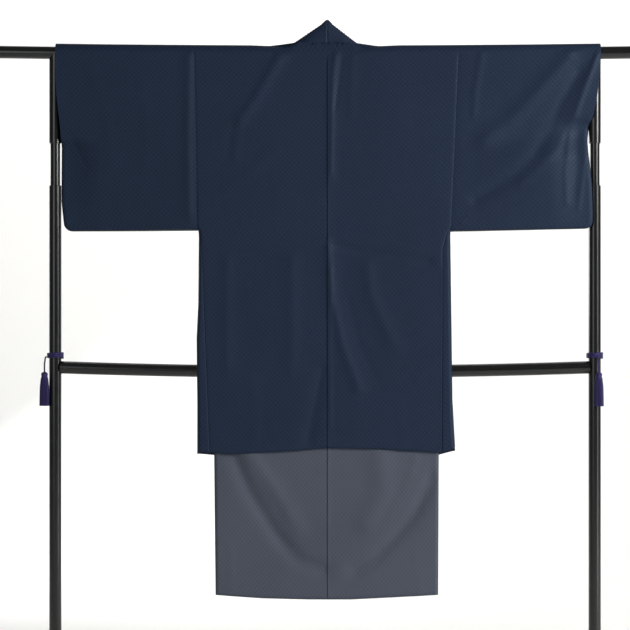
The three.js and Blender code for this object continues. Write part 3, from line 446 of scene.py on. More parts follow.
# Bound head with the solid core below it, columns: radius, height above the head's lower edge
HEAD = [
    (0, -58), (8.4, -58), (8.6, -30), (8, -6), (8.8, 0), (9.2, 3), (7.6, 6), (8, 7), (7.6, 8),
    (8.8, 10), (8.8, 13), (6.6, 16.4), (3.2, 18), (0, 18.4),
]
for sign, side in ((-1, "left"), (1, "right")):
    at = sign * UPRIGHT_X
    coil_radius = UPRIGHT_RADIUS + 0.5 + WRAP_CORD / 2
    coil = []
    coil_steps = 28 * WRAP_TURNS
    for step in range(coil_steps + 1):
        turn = 2 * pi * WRAP_TURNS * step / coil_steps
        rise = (WRAP_CORD * (WRAP_TURNS - 1)) * step / coil_steps
        z = WRAP_BOTTOM + WRAP_CORD / 2 + rise
        coil.append(Vector((at + coil_radius * cos(turn), coil_radius * sin(turn), z)))
    wound = swept_tube(coil, WRAP_CORD / 2 - 0.1, 10)
    hard_piece(wound, f"wound_cord_{side}", purple_silk, "purple_cord", f"cord_wrap_{side}", 60)
    x, y = TASSEL_PLACE[side]
    bottom = HEAD_TOP - HEAD_LENGTH
    shape = turned_shape([(radius, bottom + rise) for radius, rise in HEAD], x, y, 24)
    toward = Vector((at - x, -y, 0)).normalized()
    hang = Vector((at, 0, WRAP_BOTTOM + WRAP_CORD)) - toward * (UPRIGHT_RADIUS + WRAP_CORD + 1.4)
    loop = []
    for step in range(15):
        part = step / 14
        low, high = Vector((x, y, HEAD_TOP - 2)), Vector((x, y, WRAP_BOTTOM + 4))
        rise = low.lerp(high, min(part * 1.3, 1))
        loop.append(rise.lerp(hang, max(0, part - 0.45) / 0.55))
    neck = swept_tube(loop, LOOP_RADIUS, 10)
    neck_mesh = bpy.data.meshes.new("neck")
    neck.to_mesh(neck_mesh)
    neck.free()
    shape.from_mesh(neck_mesh)
    for index in range(STRANDS):
        ring = index % 3
        turn = index * GOLDEN_TURN + 0.1 * sin(index)
        start, flare = (6.0, 7.6, 8.6)[ring], (9.0, 10.4, 11.8)[ring]
        length = SKIRT - 3 - 5 * abs(noise.noise(Vector((index * 0.7, sign, 0))))
        course = ((start, 0), (mix(start, flare, 0.75), 0.3), (flare, 0.65), (1.02 * flare, 1))
        strand = [
            Vector((x + r * cos(turn), y + r * sin(turn), bottom + 2 - drop * length))
            for r, drop in course
        ]
        thread = swept_tube(strand, STRAND_RADIUS, 5)
        thread.to_mesh(neck_mesh)
        thread.free()
        shape.from_mesh(neck_mesh)
    bpy.data.meshes.remove(neck_mesh)
    hard_piece(shape, f"hanging_tassel_{side}", purple_silk, "purple_cord", f"tassel_{side}", 50)


# Kimono body: on each side one length of blue-grey cloth runs from the back hem up over the rod
# and down to the front hem. The backs are sewn together down the middle, the sides to the fronts.
HAORI = {"radius": 20.4, "neck": 93, "stand": 29, "lean": 6, "loft": 3, "name": "haori"}
KIMONO = {"radius": 17.7, "neck": 75, "stand": 24, "lean": 5, "loft": 0, "name": "kimono"}
CENTRE_SEAM = 6
BAR_DROP, BAR_CLEAR, NEAR_PUSH, HEM_SWING, SLACK, LONG_DROP = 800, 17.6, 19.3, 5, 3.3, 1400
SLEEVE_DROP, EDGE_BEND, BOTTOM_BEND, CORNER, SLEEVE_BLEND = 452, 12, 9, 20, 250
CLOTH_THICKNESS, UNEVENNESS = 1.2, 0.8
SEAM_HALF, SEAM_DEPTH, SEAM_WIDTH = 0.3, 1.4, 2.5
GUSSET_START, GUSSET_SEWN = 448, 454

# Columns: drop below the rod, left half width, right half width
KIMONO_EDGE = [(0, 330, 336), (440, 319, 315), (560, 298, 300), (1020, 283, 290), (1400, 279, 288)]
HAORI_EDGE = [(452, 323, 320), (640, 324, 322), (730, 328, 323), (900, 326, 325), (1035, 326, 332)]
SHOULDER_SEAM = [(0, 335, 342), (452, 325, 321)]
GUSSET_SEAM = [(GUSSET_START, 319, 315), (500, 315, 300), (1035, 294, 297)]

# Columns: x, height of the hem
KIMONO_HEM = [(-280, 210.5), (-160, 202), (-40, 199), (65, 199), (167, 204), (288, 210.5)]
HAORI_HEM = [(-326, 576), (-239, 569), (-64, 579), (3, 585), (141, 582), (290, 573), (332, 584)]
FRONT_HEM_LOWER = 7
FOLD_SOFTNESS = 0.8

# Folds of the kimono's skirt, columns: height, half width, path in x and z
SKIRT_FOLDS = [
    (-7.5, 18, [(-229, 557), (-198, 479), (-116, 351), (-64, 294), (-3, 274)]),
    (-7.5, 19, [(275, 500), (224, 412), (162, 340), (121, 303), (75, 276)]),
    (6, 25, [(-200, 565), (-146, 500), (-100, 438), (-70, 380)]),
    (6.5, 30, [(141, 560), (148, 474), (108, 397)]),
    (-1.6, 9, [(-224, 545), (-190, 470), (-140, 388), (-96, 330)]),
    (1.8, 10, [(-190, 575), (-128, 480), (-88, 405)]),
    (-1.5, 9, [(268, 520), (236, 428), (178, 352), (140, 318)]),
    (1.6, 10, [(232, 565), (214, 500), (170, 420), (150, 380)]),
    (1.2, 12, [(-240, 330), (-236, 215)]),
    (1.2, 14, [(230, 320), (240, 215)]),
    (0.9, 7, [(-200, 216), (-192, 202)]),
    (0.9, 7, [(-92, 220), (-88, 198)]),
    (0.9, 7, [(216, 222), (220, 205)]),
]


def smoothstep(value, low, high):
    part = min(max((value - low) / (high - low), 0), 1)
    return part * part * (3 - 2 * part)


def read_table(table, column, value):
    if value <= table[0][0]:
        return table[0][column]
    for before, after in zip(table, table[1:]):
        if value <= after[0]:
            return mix(before[column], after[column], (value - before[0]) / (after[0] - before[0]))
    return table[-1][column]


def fold_height(folds, x, z):
    total = 0
    for height, width, path in folds:
        nearest = 1e9
        for (x0, z0), (x1, z1) in zip(path, path[1:]):
            run_x, run_z = x1 - x0, z1 - z0
            part = ((x - x0) * run_x + (z - z0) * run_z) / (run_x * run_x + run_z * run_z)
            part = min(max(part, 0), 1)
            nearest = min(nearest, hypot(x - x0 - run_x * part, z - z0 - run_z * part))
        if nearest < 3 * width:
            total += height * exp(-((nearest / width) ** 2))
    return FOLD_SOFTNESS * total


def side_column(x):
    return 1 if x < 0 else 2


def back_depth(garment, drop):
    push = NEAR_PUSH * smoothstep(drop, 0, BAR_DROP)
    swing = HEM_SWING * smoothstep(drop, BAR_DROP, LONG_DROP)
    slack = SLACK * smoothstep(drop, 0, 120) if garment is HAORI else 0
    return -(garment["radius"] + push + swing + slack)


def front_depth(garment, drop):
    haori_depth = mix(HAORI["radius"], -BAR_CLEAR, min(drop / BAR_DROP, 1))
    if garment is HAORI:
        return haori_depth
    return haori_depth - (HAORI["radius"] - KIMONO["radius"]) - 0.5 * smoothstep(drop, 0, 150)


def closing(to_edge, bend, amount):
    part = min(max(1 - to_edge / bend, 0), 1)
    return 1 - amount + amount * sqrt(1 - part * part)


def waviness(x, z, side):
    """Slow unevenness of cloth that hangs freely."""
    broad = noise.noise(Vector((x * 0.006, z * 0.0035, 3.1 * side)))
    small = noise.noise(Vector((x * 0.021, z * 0.009, 7.7 * side)))
    return UNEVENNESS * (1.5 * broad + 0.45 * small)


def seam_dip(distance, outer_width):
    """How far cloth dips into a seam, where distance is positive on the outer side."""
    width = outer_width if distance > 0 else SEAM_WIDTH
    return SEAM_DEPTH * exp(-abs(distance) / width)


def centre_ridge(x, drop):
    """The centre back seam is pressed to the right and stands up along its line."""
    past = x - CENTRE_SEAM
    height = 1.5 * exp(-past / 11) if past > 0 else -0.6 * exp(past / 1.6)
    return height * smoothstep(drop, 2, 30)


def body_point(garment, side, x, drop, folds, joined=False, seam=None):
    back, front = back_depth(garment, drop), front_depth(garment, drop)
    table = HAORI_EDGE if garment is HAORI else KIMONO_EDGE
    armpit = SLEEVE_DROP if garment is HAORI else SLEEVE_DROP - 12
    edge = read_table(table, side_column(x), drop)
    shut = smoothstep(drop, armpit - 6, armpit + 18)
    is_open = closing(edge - abs(x), BOTTOM_BEND, shut)
    half = (front - back) / 2 * is_open
    z = rod_z(x) - drop
    y = (front + back) / 2 + side * (half if joined else max(half, SEAM_HALF))
    out = fold_height(folds, x, z) * is_open if side < 0 else 0
    loose = smoothstep(drop, 10, 160) * is_open
    out += waviness(x, z, side) * loose
    if seam is not None:
        out -= seam_dip(abs(x) - seam, outer_width=4)
    if side < 0:
        out += centre_ridge(x, drop)
    return Vector((x, y + side * out, z))


def over_rod(garment, x, angle, neck=None):
    neck = garment["neck"] if neck is None else neck
    turn = radians(angle)
    loft = garment["loft"] * smoothstep(abs(x), garment["neck"] + 20, 200)
    radius = garment["radius"]
    arc = Vector((x, -radius * cos(turn), rod_z(x) + (radius + loft) * sin(turn)))
    rise = min(angle / 45, 1)
    standing = Vector((x, -radius + garment["lean"] * rise, rod_z(x) + garment["stand"] * rise))
    in_neck = 0 if angle > 90 else 1 - smoothstep(abs(x), neck - 20, neck + 5)
    return arc.lerp(standing, in_neck)


def hem_drop(hem, x):
    return rod_z(x) - read_table(hem, 1, x)


def spread(part, evenness=0.85):
    """Even steps drawn closer together at both ends."""
    return part - evenness * sin(2 * pi * part) / (2 * pi)


def cloth_piece(name, columns, rows, point_at, measure_at, material):
    """A sheet of cloth on a grid of columns by rows, with its weave laid along the sheet."""
    shape = bmesh.new()
    bmesh.ops.create_grid(shape, x_segments=columns, y_segments=rows, size=0.5)
    weave = shape.loops.layers.uv.new("weave")
    shape.verts.ensure_lookup_table()
    laid = {}
    for vert in shape.verts:
        u, v = vert.co.x + 0.5, vert.co.y + 0.5
        laid[vert.index] = Vector(measure_at(u, v)) * MM
        vert.co = point_at(u, v) * MM
    for face in shape.faces:
        for loop in face.loops:
            loop[weave].uv = laid[loop.vert.index]
    bmesh.ops.recalc_face_normals(shape, faces=shape.faces)
    piece = finish_piece(shape, name, material)
    thickness = piece.modifiers.new("cloth thickness", "SOLIDIFY")
    thickness.thickness = CLOTH_THICKNESS * MM
    thickness.offset = 0
    return piece


def lattice_group():
    """Small woven diamonds in offset rows, and the crossing threads, as masks."""
    group = bpy.data.node_groups.new("woven_lattice", "ShaderNodeTree")
    group.interface.new_socket("Period", in_out="INPUT", socket_type="NodeSocketFloat")
    group.interface.new_socket("Figure", in_out="OUTPUT", socket_type="NodeSocketFloat")
    group.interface.new_socket("Threads", in_out="OUTPUT", socket_type="NodeSocketFloat")
    nodes, links = group.nodes, group.links
    given = nodes.new("NodeGroupInput")
    result = nodes.new("NodeGroupOutput")

    def math(kind, first, second=None):
        return calculated(group, kind, first, second)

    place = nodes.new("ShaderNodeUVMap")
    place.uv_map = "weave"
    parts = nodes.new("ShaderNodeSeparateXYZ")
    links.new(place.outputs["UV"], parts.inputs["Vector"])
    across = math("DIVIDE", parts.outputs["X"], given.outputs["Period"])
    along = math("DIVIDE", parts.outputs["Y"], given.outputs["Period"])
    wave_x = math("COSINE", math("MULTIPLY", across, 2 * pi))
    wave_y = math("COSINE", math("MULTIPLY", along, 2 * pi))
    lattice = math("MULTIPLY", wave_x, wave_y)
    diamond = math("SMOOTH_MIN", math("MULTIPLY", math("ADD", lattice, 0.1), 1.6), 1.0)
    links.new(diamond, result.inputs["Figure"])
    weft = math("SINE", math("MULTIPLY", parts.outputs["Y"], 2 * pi / 0.0009))
    warp = math("SINE", math("MULTIPLY", parts.outputs["X"], 2 * pi / 0.0007))
    links.new(math("MULTIPLY", weft, warp), result.inputs["Threads"])
    return group


def woven_cloth(name, ground, figure, roughness, contrast):
    made = bpy.data.materials.new(name)
    made.use_nodes = True
    nodes, links = made.node_tree.nodes, made.node_tree.links
    shader = nodes["Principled BSDF"]
    shader.inputs["Specular IOR Level"].default_value = 0.14
    shader.inputs["Specular Tint"].default_value = (0.78, 0.94, 1, 1)
    weave = nodes.new("ShaderNodeGroup")
    weave.node_tree = bpy.data.node_groups.get("woven_lattice") or lattice_group()
    weave.inputs["Period"].default_value = 0.0119
    place = nodes.new("ShaderNodeTexCoord")
    cloud = nodes.new("ShaderNodeTexNoise")
    cloud.inputs["Scale"].default_value = 4
    cloud.inputs["Detail"].default_value = 3
    links.new(place.outputs["Object"], cloud.inputs["Vector"])
    tree, woven = made.node_tree, weave.outputs["Figure"]
    strength = ranged(tree, woven, (-1, 1), (0.5 - contrast, 0.5 + contrast))
    colours = nodes.new("ShaderNodeMix")
    colours.data_type = "RGBA"
    colours.inputs["A"].default_value = (*ground, 1)
    colours.inputs["B"].default_value = (*figure, 1)
    links.new(strength, colours.inputs["Factor"])
    tone = ranged(tree, cloud.outputs["Fac"], (0.3, 0.7), (0.94, 1.06))
    shaded = nodes.new("ShaderNodeVectorMath")
    shaded.operation = "SCALE"
    links.new(colours.outputs["Result"], shaded.inputs[0])
    links.new(tone, shaded.inputs["Scale"])
    # Painted shade: the colour is darkened to 0.45 on faces turned away from the front and back, so
    # that the cloth's edges, tops and undersides look shaded.
    facing = nodes.new("ShaderNodeNewGeometry")
    turned = nodes.new("ShaderNodeSeparateXYZ")
    links.new(facing.outputs["Normal"], turned.inputs["Vector"])
    outward = calculated(tree, "ABSOLUTE", turned.outputs["Y"])
    rim = ranged(tree, outward, (0.1, 0.8), (0.45, 1))
    painted_edge_shade = nodes.new("ShaderNodeVectorMath")
    painted_edge_shade.operation = "SCALE"
    links.new(shaded.outputs["Vector"], painted_edge_shade.inputs[0])
    links.new(rim, painted_edge_shade.inputs["Scale"])
    links.new(painted_edge_shade.outputs["Vector"], shader.inputs["Base Color"])
    gloss = ranged(tree, woven, (-1, 1), (roughness + 0.06, roughness - 0.06))
    links.new(gloss, shader.inputs["Roughness"])
    threads = calculated(tree, "MULTIPLY", weave.outputs["Threads"], 0.35)
    bumped(tree, calculated(tree, "ADD", threads, woven), 0.35, 0.00025)
    return made


GREY_GROUND, GREY_FIGURE = (0.059, 0.0662, 0.0905), (0.0885, 0.0972, 0.126)
grey_cloth = woven_cloth("blue_grey_cloth", GREY_GROUND, GREY_FIGURE, 0.66, 0.2)


def front_point(garment, sign, across, drop):
    point = body_point(garment, 1, sign * across, drop, [])
    if garment is KIMONO and sign > 0:
        under = 1 - smoothstep(across, 120, 190)
        point.y -= 3 * under * smoothstep(drop, 15, 140)
    return point


CROSS_WIDTH, CROSS_TRAVEL, CROSS_DROP, CROSS_POWER, PANEL_SEAM = 60, 130, 750, 1.2, 35


def cross_line(drop):
    return KIMONO["neck"] - CROSS_TRAVEL * (min(drop, CROSS_DROP) / CROSS_DROP) ** CROSS_POWER


def strip_zones(back_length, arc, front_length):
    """Share of the strip's length in each zone: back, over the rod, front."""
    whole = back_length + arc + front_length
    return back_length / whole, (back_length + arc) / whole


def body_strip(garment, sign, hem, folds):
    arc = pi * garment["radius"]
    length = hem_drop(hem, sign * 150)
    first, second = strip_zones(length, arc, length)
    centre = CENTRE_SEAM * sign

    def outer(drop):
        column = side_column(sign)
        if garment is KIMONO:
            return read_table(KIMONO_EDGE, column, drop)
        shoulder = read_table(SHOULDER_SEAM, column, drop)
        gusset = read_table(GUSSET_SEAM, column, drop)
        return mix(shoulder, gusset, smoothstep(drop, GUSSET_START, GUSSET_SEWN))

    def front_inner(drop):
        if garment is HAORI:
            return garment["neck"]
        return max(cross_line(drop), PANEL_SEAM)

    def point_at(u, v):
        part = spread(u)
        if v < first:
            level = 1 - v / first
            across = mix(centre, outer(level * length), part)
            drop = level * hem_drop(hem, sign * across)
            seam = outer(drop) if garment is HAORI else None
            return body_point(garment, -1, sign * across, drop, folds, seam=seam)
        if v < second:
            angle = 180 * (v - first) / (second - first)
            reach = min(max((angle - 66) / 24, 0), 1)
            inner = mix(centre, garment["neck"], reach)
            return over_rod(garment, sign * mix(inner, outer(0), part), angle)
        level = (v - second) / (1 - second)
        across = mix(front_inner(level * length), outer(level * length), part)
        lower = FRONT_HEM_LOWER if garment is HAORI else 0
        drop = level * (hem_drop(hem, sign * across) + lower)
        return front_point(garment, sign, across, drop)

    def measure_at(u, v):
        return (sign * mix(CENTRE_SEAM, 335, spread(u)), v * (2 * length + arc))

    return point_at, measure_at


for sign, side in ((-1, "left"), (1, "right")):
    point_at, measure_at = body_strip(KIMONO, sign, KIMONO_HEM, SKIRT_FOLDS)
    piece = cloth_piece(f"kimono_strip_{side}", 52, 300, point_at, measure_at, grey_cloth)
    stretches = [f"kimono_{word}_{side}" for word in ("back", "shoulder", "front")]
    attach(piece, "kimono_cloth", *stretches)


# Overlap panels: a narrower panel is sewn to each kimono front, from the crossing band to the
# hem. The wearer's left one lies on the right one.
for sign, side in ((-1, "left"), (1, "right")):
    top, band_end = 295, CROSS_DROP

    def overlap_point(u, v):
        drop = mix(top, hem_drop(KIMONO_HEM, 0), v)
        free = mix(cross_line(drop), -115, smoothstep(drop, band_end - 1, band_end + 8))
        across = mix(free, PANEL_SEAM, spread(u, 0.7))
        return front_point(KIMONO, sign, across, drop)

    def overlap_measure(u, v):
        return (150 * u, mix(top, 1400, v))

    name = f"kimono_overlap_panel_{side}"
    piece = cloth_piece(name, 20, 120, overlap_point, overlap_measure, grey_cloth)
    attach(piece, "kimono_cloth", f"kimono_overlap_{side}")


# Sleeves: each is one length folded over the rod, sewn along its lower edge and up the cuff's
# side to the hand opening. The kimono's sleeves hang inside the haori's.
SLEEVE_HOLLOW = {"haori": 8, "kimono": 4.6}
EDGE_TAPER = 110

# Columns: drop below the rod, reach of the cuff's edge from the centre. The haori's sleeves sag
# below their cut by an amount at the body and one at the cuff.
CUFFS = {
    "left": {
        "sag": (2, 6),
        "opening": 224,
        "swing": 4,
        "edge": [
            (0, 691), (70, 690), (108, 687.5), (147, 683.5), (185, 678.5), (224, 676),
            (378, 676), (455, 668),
        ],
    },
    "right": {
        "sag": (4.5, 0),
        "opening": 170,
        "swing": 20.5,
        "edge": [
            (0, 706.5), (57, 702), (114, 696), (150, 689), (172, 683.5), (200, 676),
            (229, 673), (262, 674), (287, 677), (338, 682.5), (410, 685), (455, 685),
        ],
    },
}

# Folds of the haori's sleeves, columns: height, half width, path in x and z
SLEEVE_FOLDS = [
    (2.6, 15, [(-352, 1580), (-352, 1190)]),
    (-0.8, 18, [(-668, 1400), (-614, 1292)]),
    (5, 24, [(622, 1582), (535, 1484), (473, 1420), (409, 1376)]),
    (-3, 20, [(650, 1546), (604, 1466), (535, 1330), (473, 1274), (385, 1222)]),
    (1.6, 18, [(690, 1570), (652, 1470), (632, 1400)]),
    (1.6, 9, [(-347, 1590), (-350, 1400), (-345, 1165)]),
    (-1.3, 6, [(-676, 1402), (-650, 1382), (-613, 1310)]),
    (1.2, 14, [(-600, 1560), (-560, 1440), (-545, 1300)]),
    (1.0, 12, [(-470, 1520), (-455, 1380), (-470, 1230)]),
    (2.0, 9, [(403, 1606), (385, 1502), (380, 1440)]),
    (1.2, 12, [(626, 1590), (545, 1495), (480, 1425), (409, 1376)]),
    (-1.8, 11, [(650, 1546), (604, 1466), (576, 1387), (535, 1330), (473, 1274), (385, 1222)]),
    (2.2, 9, [(702, 1597), (660, 1507), (627, 1420), (586, 1340), (501, 1261)]),
    (2.0, 6, [(694, 1587), (666, 1507), (643, 1443), (627, 1385), (614, 1290), (617, 1209)]),
    (1.4, 6, [(664, 1330), (659, 1285), (648, 1195)]),
    (-2.0, 11, [(647, 1390), (642, 1300), (635, 1225)]),
    (1.2, 5, [(365, 1181), (348, 1165)]),
]


def sleeve_point(garment, sign, side, across, drop, bottom, edge, folds):
    cuff = CUFFS["left" if sign < 0 else "right"]
    seam = read_table(SHOULDER_SEAM, side_column(sign), drop)
    out = smoothstep(across, seam, seam + SLEEVE_BLEND)
    back, front = back_depth(garment, drop), front_depth(garment, drop)
    slack = SLACK * smoothstep(drop, 0, 120) if garment is HAORI else 0
    inside = 0.8 * smoothstep(drop, 0, 100) if garment is KIMONO else 0
    hollow = SLEEVE_HOLLOW[garment["name"]]
    cuff_half = mix(garment["radius"], hollow, (drop / SLEEVE_DROP) ** 2.2) + slack / 2 - inside
    shut = smoothstep(drop, cuff["opening"] - 8, cuff["opening"] + 18)
    taper = shut * smoothstep(across, edge - EDGE_TAPER, edge - EDGE_BEND)
    edge_half = 6 if garment is HAORI else 3
    swing = -cuff["swing"] * smoothstep(drop, cuff["opening"] + 25, cuff["opening"] + 110)
    half = mix((front - back) / 2, mix(cuff_half, edge_half, taper), out)
    middle = mix((front + back) / 2, swing - slack / 2 * (1 - taper), out)
    edge_shut = closing(edge - across, EDGE_BEND, shut)
    bottom_shut = closing(bottom - drop, BOTTOM_BEND, 1)
    x, z = sign * across, rod_z(sign * across) - drop
    shutting = edge_shut * bottom_shut
    y = middle + side * max(half * shutting, SEAM_HALF)
    lift = fold_height(folds, x, z) * shutting if side < 0 else 0
    lift += waviness(x, z, side + 2) * shutting * smoothstep(drop, 10, 120)
    if garment is HAORI:
        lift -= seam_dip(across - seam, outer_width=9)
    return Vector((x, y + side * lift, z))


def sleeve_sheet(garment, sign, folds):
    is_haori = garment is HAORI
    bottom = SLEEVE_DROP if is_haori else SLEEVE_DROP - 14
    table = SHOULDER_SEAM if is_haori else KIMONO_EDGE
    column = side_column(sign)
    cuff = CUFFS["left" if sign < 0 else "right"]
    edges, sag = cuff["edge"], cuff["sag"]
    arc = pi * garment["radius"]
    first, second = strip_zones(bottom, arc, bottom)

    def edge_at(drop):
        reach = read_table(edges, 1, drop)
        corner = min(max((drop - bottom + CORNER) / CORNER, 0), 1)
        rounded = CORNER * (1 - sqrt(1 - corner * corner))
        return (reach if is_haori else min(reach - 9, 669)) - rounded

    def point_at(u, v):
        part = spread(u)
        if first <= v <= second:
            angle = 180 * (v - first) / (second - first)
            across = mix(read_table(table, column, 0), edge_at(0), part)
            return over_rod(garment, sign * across, angle, neck=0)
        side = -1 if v < first else 1
        level = 1 - v / first if side < 0 else (v - second) / (1 - second)
        drop = bottom * spread(level, 0.8)
        edge = edge_at(drop)
        across = mix(read_table(table, column, drop), edge, part)
        point = sleeve_point(garment, sign, side, across, drop, bottom, edge, folds)
        if is_haori:
            point.z -= mix(*sag, part) * smoothstep(level, 0, 1)
        return point

    def measure_at(u, v):
        if first <= v <= second:
            along = (v - (first + second) / 2) * (2 * bottom + arc)
        else:
            side = -1 if v < first else 1
            level = 1 - v / first if side < 0 else (v - second) / (1 - second)
            along = side * (bottom * spread(level, 0.8) + arc / 2)
        return (sign * mix(330, 680, spread(u)), along)

    return point_at, measure_at


for sign, side in ((-1, "left"), (1, "right")):
    point_at, measure_at = sleeve_sheet(KIMONO, sign, [])
    piece = cloth_piece(f"kimono_sleeve_cloth_{side}", 40, 110, point_at, measure_at, grey_cloth)
    attach(piece, "kimono_cloth", f"kimono_sleeve_{side}")


# Collar bands: a folded band is sewn round the neck and down the fronts. Behind the neck it
# stands up to a point, folds over along a line to each shoulder, and is joined at the centre.
BAND_WIDTH = 65
NECK_SHAPE = {
    "haori": {"apex": (-7, 1681), "free": (-1, 1675)},
    "kimono": {"apex": (-4, 1667), "free": (1.5, 1660)},
}


def collar_sheet(garment, sign):
    is_haori = garment is HAORI
    width = BAND_WIDTH if is_haori else CROSS_WIDTH
    neck = NECK_SHAPE[garment["name"]]
    shoulder_x = garment["neck"] - 0.2
    shoulder = Vector((shoulder_x, 0, rod_z(garment["neck"]) + garment["radius"] + 1.2))
    centre = CENTRE_SEAM * sign
    fold_angle = 149
    fold_end = over_rod(garment, shoulder_x - width, fold_angle, neck=0)
    apex = Vector((centre, *neck["apex"]))
    free_top = Vector((centre, *neck["free"]))
    base_y, base_z = garment["lean"] - garment["radius"], rod_z(0) + garment["stand"] + 0.6
    base = Vector((centre, base_y, base_z))
    base_side = Vector(((centre + garment["neck"]) / 2, base_y, base_z))
    hem = hem_drop(HAORI_HEM, sign * 60) + FRONT_HEM_LOWER if is_haori else CROSS_DROP - 1
    turn_end, over_end = 0.09, 0.12

    def neck_point(part, across):
        if part < 0.5:
            attached = base.lerp(base_side, 2 * part)
        else:
            attached = base_side.lerp(shoulder, 2 * part - 1)
        crease, free = apex.lerp(shoulder, part), free_top.lerp(fold_end, part)
        turn = max(0.9 * (1 - part), 1e-4)
        if across <= turn:
            point = attached.lerp(crease, across / turn)
        else:
            point = crease.lerp(free, (across - turn) / (1 - turn))
        bulge = sin(pi * min(across / turn, 1)) * (1 - part)
        lobe = exp(-(((point.x - centre) / 4 - 1) ** 2)) * exp(-(((across - turn) / 0.08) ** 2))
        return Vector((point.x * sign, point.y - 1.6 * bulge, point.z + 1.8 * lobe))

    def point_at(u, v):
        across = spread(u, 0.6)
        if v < turn_end:
            return neck_point(v / turn_end, across)
        if v < over_end:
            part = (v - turn_end) / (over_end - turn_end)
            angle = mix(mix(90, fold_angle, across), 180, part)
            x = sign * mix(shoulder_x, shoulder_x - width, across)
            return over_rod(garment, x, angle, neck=0)
        part = (v - over_end) / (1 - over_end)
        drop = hem * part
        seam = shoulder_x if is_haori else cross_line(drop)
        point = front_point(garment, sign, mix(seam, seam - width, across), drop)
        point.y += 0.9 * sin(pi * across)
        return point

    def measure_at(u, v):
        return (width * u, v * (hem + 130))

    return point_at, measure_at


for sign, side in ((-1, "left"), (1, "right")):
    point_at, measure_at = collar_sheet(KIMONO, sign)
    piece = cloth_piece(f"kimono_band_{side}", 22, 200, point_at, measure_at, grey_cloth)
    attach(piece, "kimono_cloth", f"kimono_collar_{side}")


# Haori body: the navy jacket over the kimono, cut like it but shorter and open in front. The
# back seam down the middle draws the cloth into small puckers.
NAVY_GROUND, NAVY_FIGURE = (0.0092, 0.0158, 0.0365), (0.0185, 0.0295, 0.0565)
navy_cloth = woven_cloth("navy_cloth", NAVY_GROUND, NAVY_FIGURE, 0.54, 0.25)

# Folds of the haori's back, columns: height, half width, path in x and z
HAORI_FOLDS = [
    (4.5, 19, [(-108, 1600), (-180, 1477), (-218, 1425)]),
    (2.6, 22, [(-249, 1065), (-249, 796)]),
    (2.6, 24, [(-85, 1065), (-85, 796)]),
    (-3, 22, [(-8, 783), (-44, 603)]),
    (2, 14, [(29, 1600), (18, 1500), (15, 1261)]),
    (3.6, 20, [(8, 1109), (18, 963), (44, 847), (85, 736)]),
    (3, 22, [(108, 1040), (121, 963), (160, 880), (180, 840)]),
    (-3, 16, [(3, 1109), (90, 1086), (193, 1071), (262, 1062)]),
    (1.8, 9, [(-108, 1600), (-141, 1541), (-180, 1477), (-218, 1425), (-231, 1322)]),
    (-1.5, 8, [(-128, 1592), (-160, 1535), (-200, 1470), (-238, 1410), (-250, 1330)]),
    (1.6, 12, [(-131, 1348), (-180, 1300), (-257, 1245)]),
    (1.3, 9, [(-249, 1065), (-252, 930), (-249, 796)]),
    (1.2, 10, [(-85, 1065), (-82, 900), (-86, 780)]),
    (-1.6, 9, [(-8, 783), (-26, 690), (-44, 603)]),
    (1.8, 6, [(29, 1610), (20, 1537), (17, 1458), (15, 1291)]),
    (-1.6, 6, [(46, 1600), (36, 1525), (26, 1450)]),
    (1.4, 9, [(72, 1597), (67, 1500), (67, 1438)]),
    (-1.8, 6, [(3, 1109), (90, 1086), (193, 1071), (266, 1062)]),
    (1.4, 8, [(6, 1096), (90, 1072), (193, 1056), (268, 1046)]),
    (2.0, 9, [(8, 1109), (18, 963), (44, 847), (85, 736)]),
    (1.2, 9, [(108, 1045), (118, 975), (150, 900), (166, 860)]),
    (1.3, 8, [(234, 757), (260, 795), (296, 826)]),
    (-1.2, 10, [(60, 960), (88, 850), (130, 760)]),
    (1.0, 14, [(-190, 760), (-176, 650), (-188, 580)]),
    (1.0, 12, [(190, 700), (200, 620), (196, 570)]),
    (1.6, 5, [(300, 1040), (299, 800), (299, 580)]),
    (1.4, 6, [(14, 1040), (13, 860), (14, 640)]),
]
PUCKERS, PUCKER_SPACING = 20, 26
for step in range(PUCKERS):
    start = (CENTRE_SEAM, 1130 - PUCKER_SPACING * step - 5 * (step % 3))
    end = (22 + 6 * (step % 2), 1124 - PUCKER_SPACING * step)
    HAORI_FOLDS.append((-0.9, 5, [start, end]))
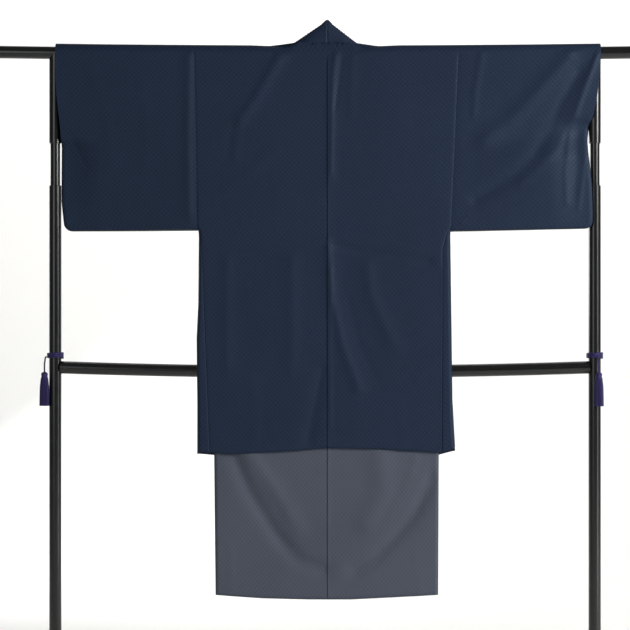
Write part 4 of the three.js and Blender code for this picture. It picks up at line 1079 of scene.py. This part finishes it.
for sign, side in ((-1, "left"), (1, "right")):
    point_at, measure_at = body_strip(HAORI, sign, HAORI_HEM, HAORI_FOLDS)
    piece = cloth_piece(f"haori_strip_{side}", 72, 290, point_at, measure_at, navy_cloth)
    attach(piece, "haori_cloth", f"haori_body_{side}")


# Haori sleeves: of the navy cloth, cut and sewn as the kimono's are, but a little longer and
# wider. Their lower edges sag slightly, and long folds run in from the cuffs.
for sign, side in ((-1, "left"), (1, "right")):
    point_at, measure_at = sleeve_sheet(HAORI, sign, SLEEVE_FOLDS)
    piece = cloth_piece(f"haori_sleeve_cloth_{side}", 80, 200, point_at, measure_at, navy_cloth)
    attach(piece, "haori_cloth", f"haori_sleeve_{side}")


# Side gussets: a long triangle is sewn between each side's back and front, folded along its
# middle, and widens to the hem.
def gusset_sheet(sign):
    column = side_column(sign)
    top, bottom = 450, 1035

    def point_at(u, v):
        drop = mix(top, bottom, v)
        seam, edge = read_table(GUSSET_SEAM, column, drop), read_table(HAORI_EDGE, column, drop)
        side = -1 if u < 0.5 else 1
        part = 1 - abs(2 * u - 1)
        x = sign * mix(seam, edge, 1 - (1 - part) ** 1.8)
        lower = FRONT_HEM_LOWER if side > 0 else 0
        level = mix(top, hem_drop(HAORI_HEM, x) + lower, v)
        return body_point(HAORI, side, x, level, [], joined=True, seam=seam)

    def measure_at(u, v):
        return (75 * u, 577 * v)

    return point_at, measure_at


for sign, side in ((-1, "left"), (1, "right")):
    point_at, measure_at = gusset_sheet(sign)
    piece = cloth_piece(f"haori_gusset_cloth_{side}", 36, 90, point_at, measure_at, navy_cloth)
    attach(piece, "haori_cloth", f"haori_gusset_{side}")


# Haori band: the navy cloth folded double and sewn on, like the kimono's. It stands behind the
# neck and hangs straight down both fronts to the hem.
for sign, side in ((-1, "left"), (1, "right")):
    point_at, measure_at = collar_sheet(HAORI, sign)
    piece = cloth_piece(f"haori_band_{side}", 26, 260, point_at, measure_at, navy_cloth)
    attach(piece, "haori_cloth", f"haori_collar_{side}")
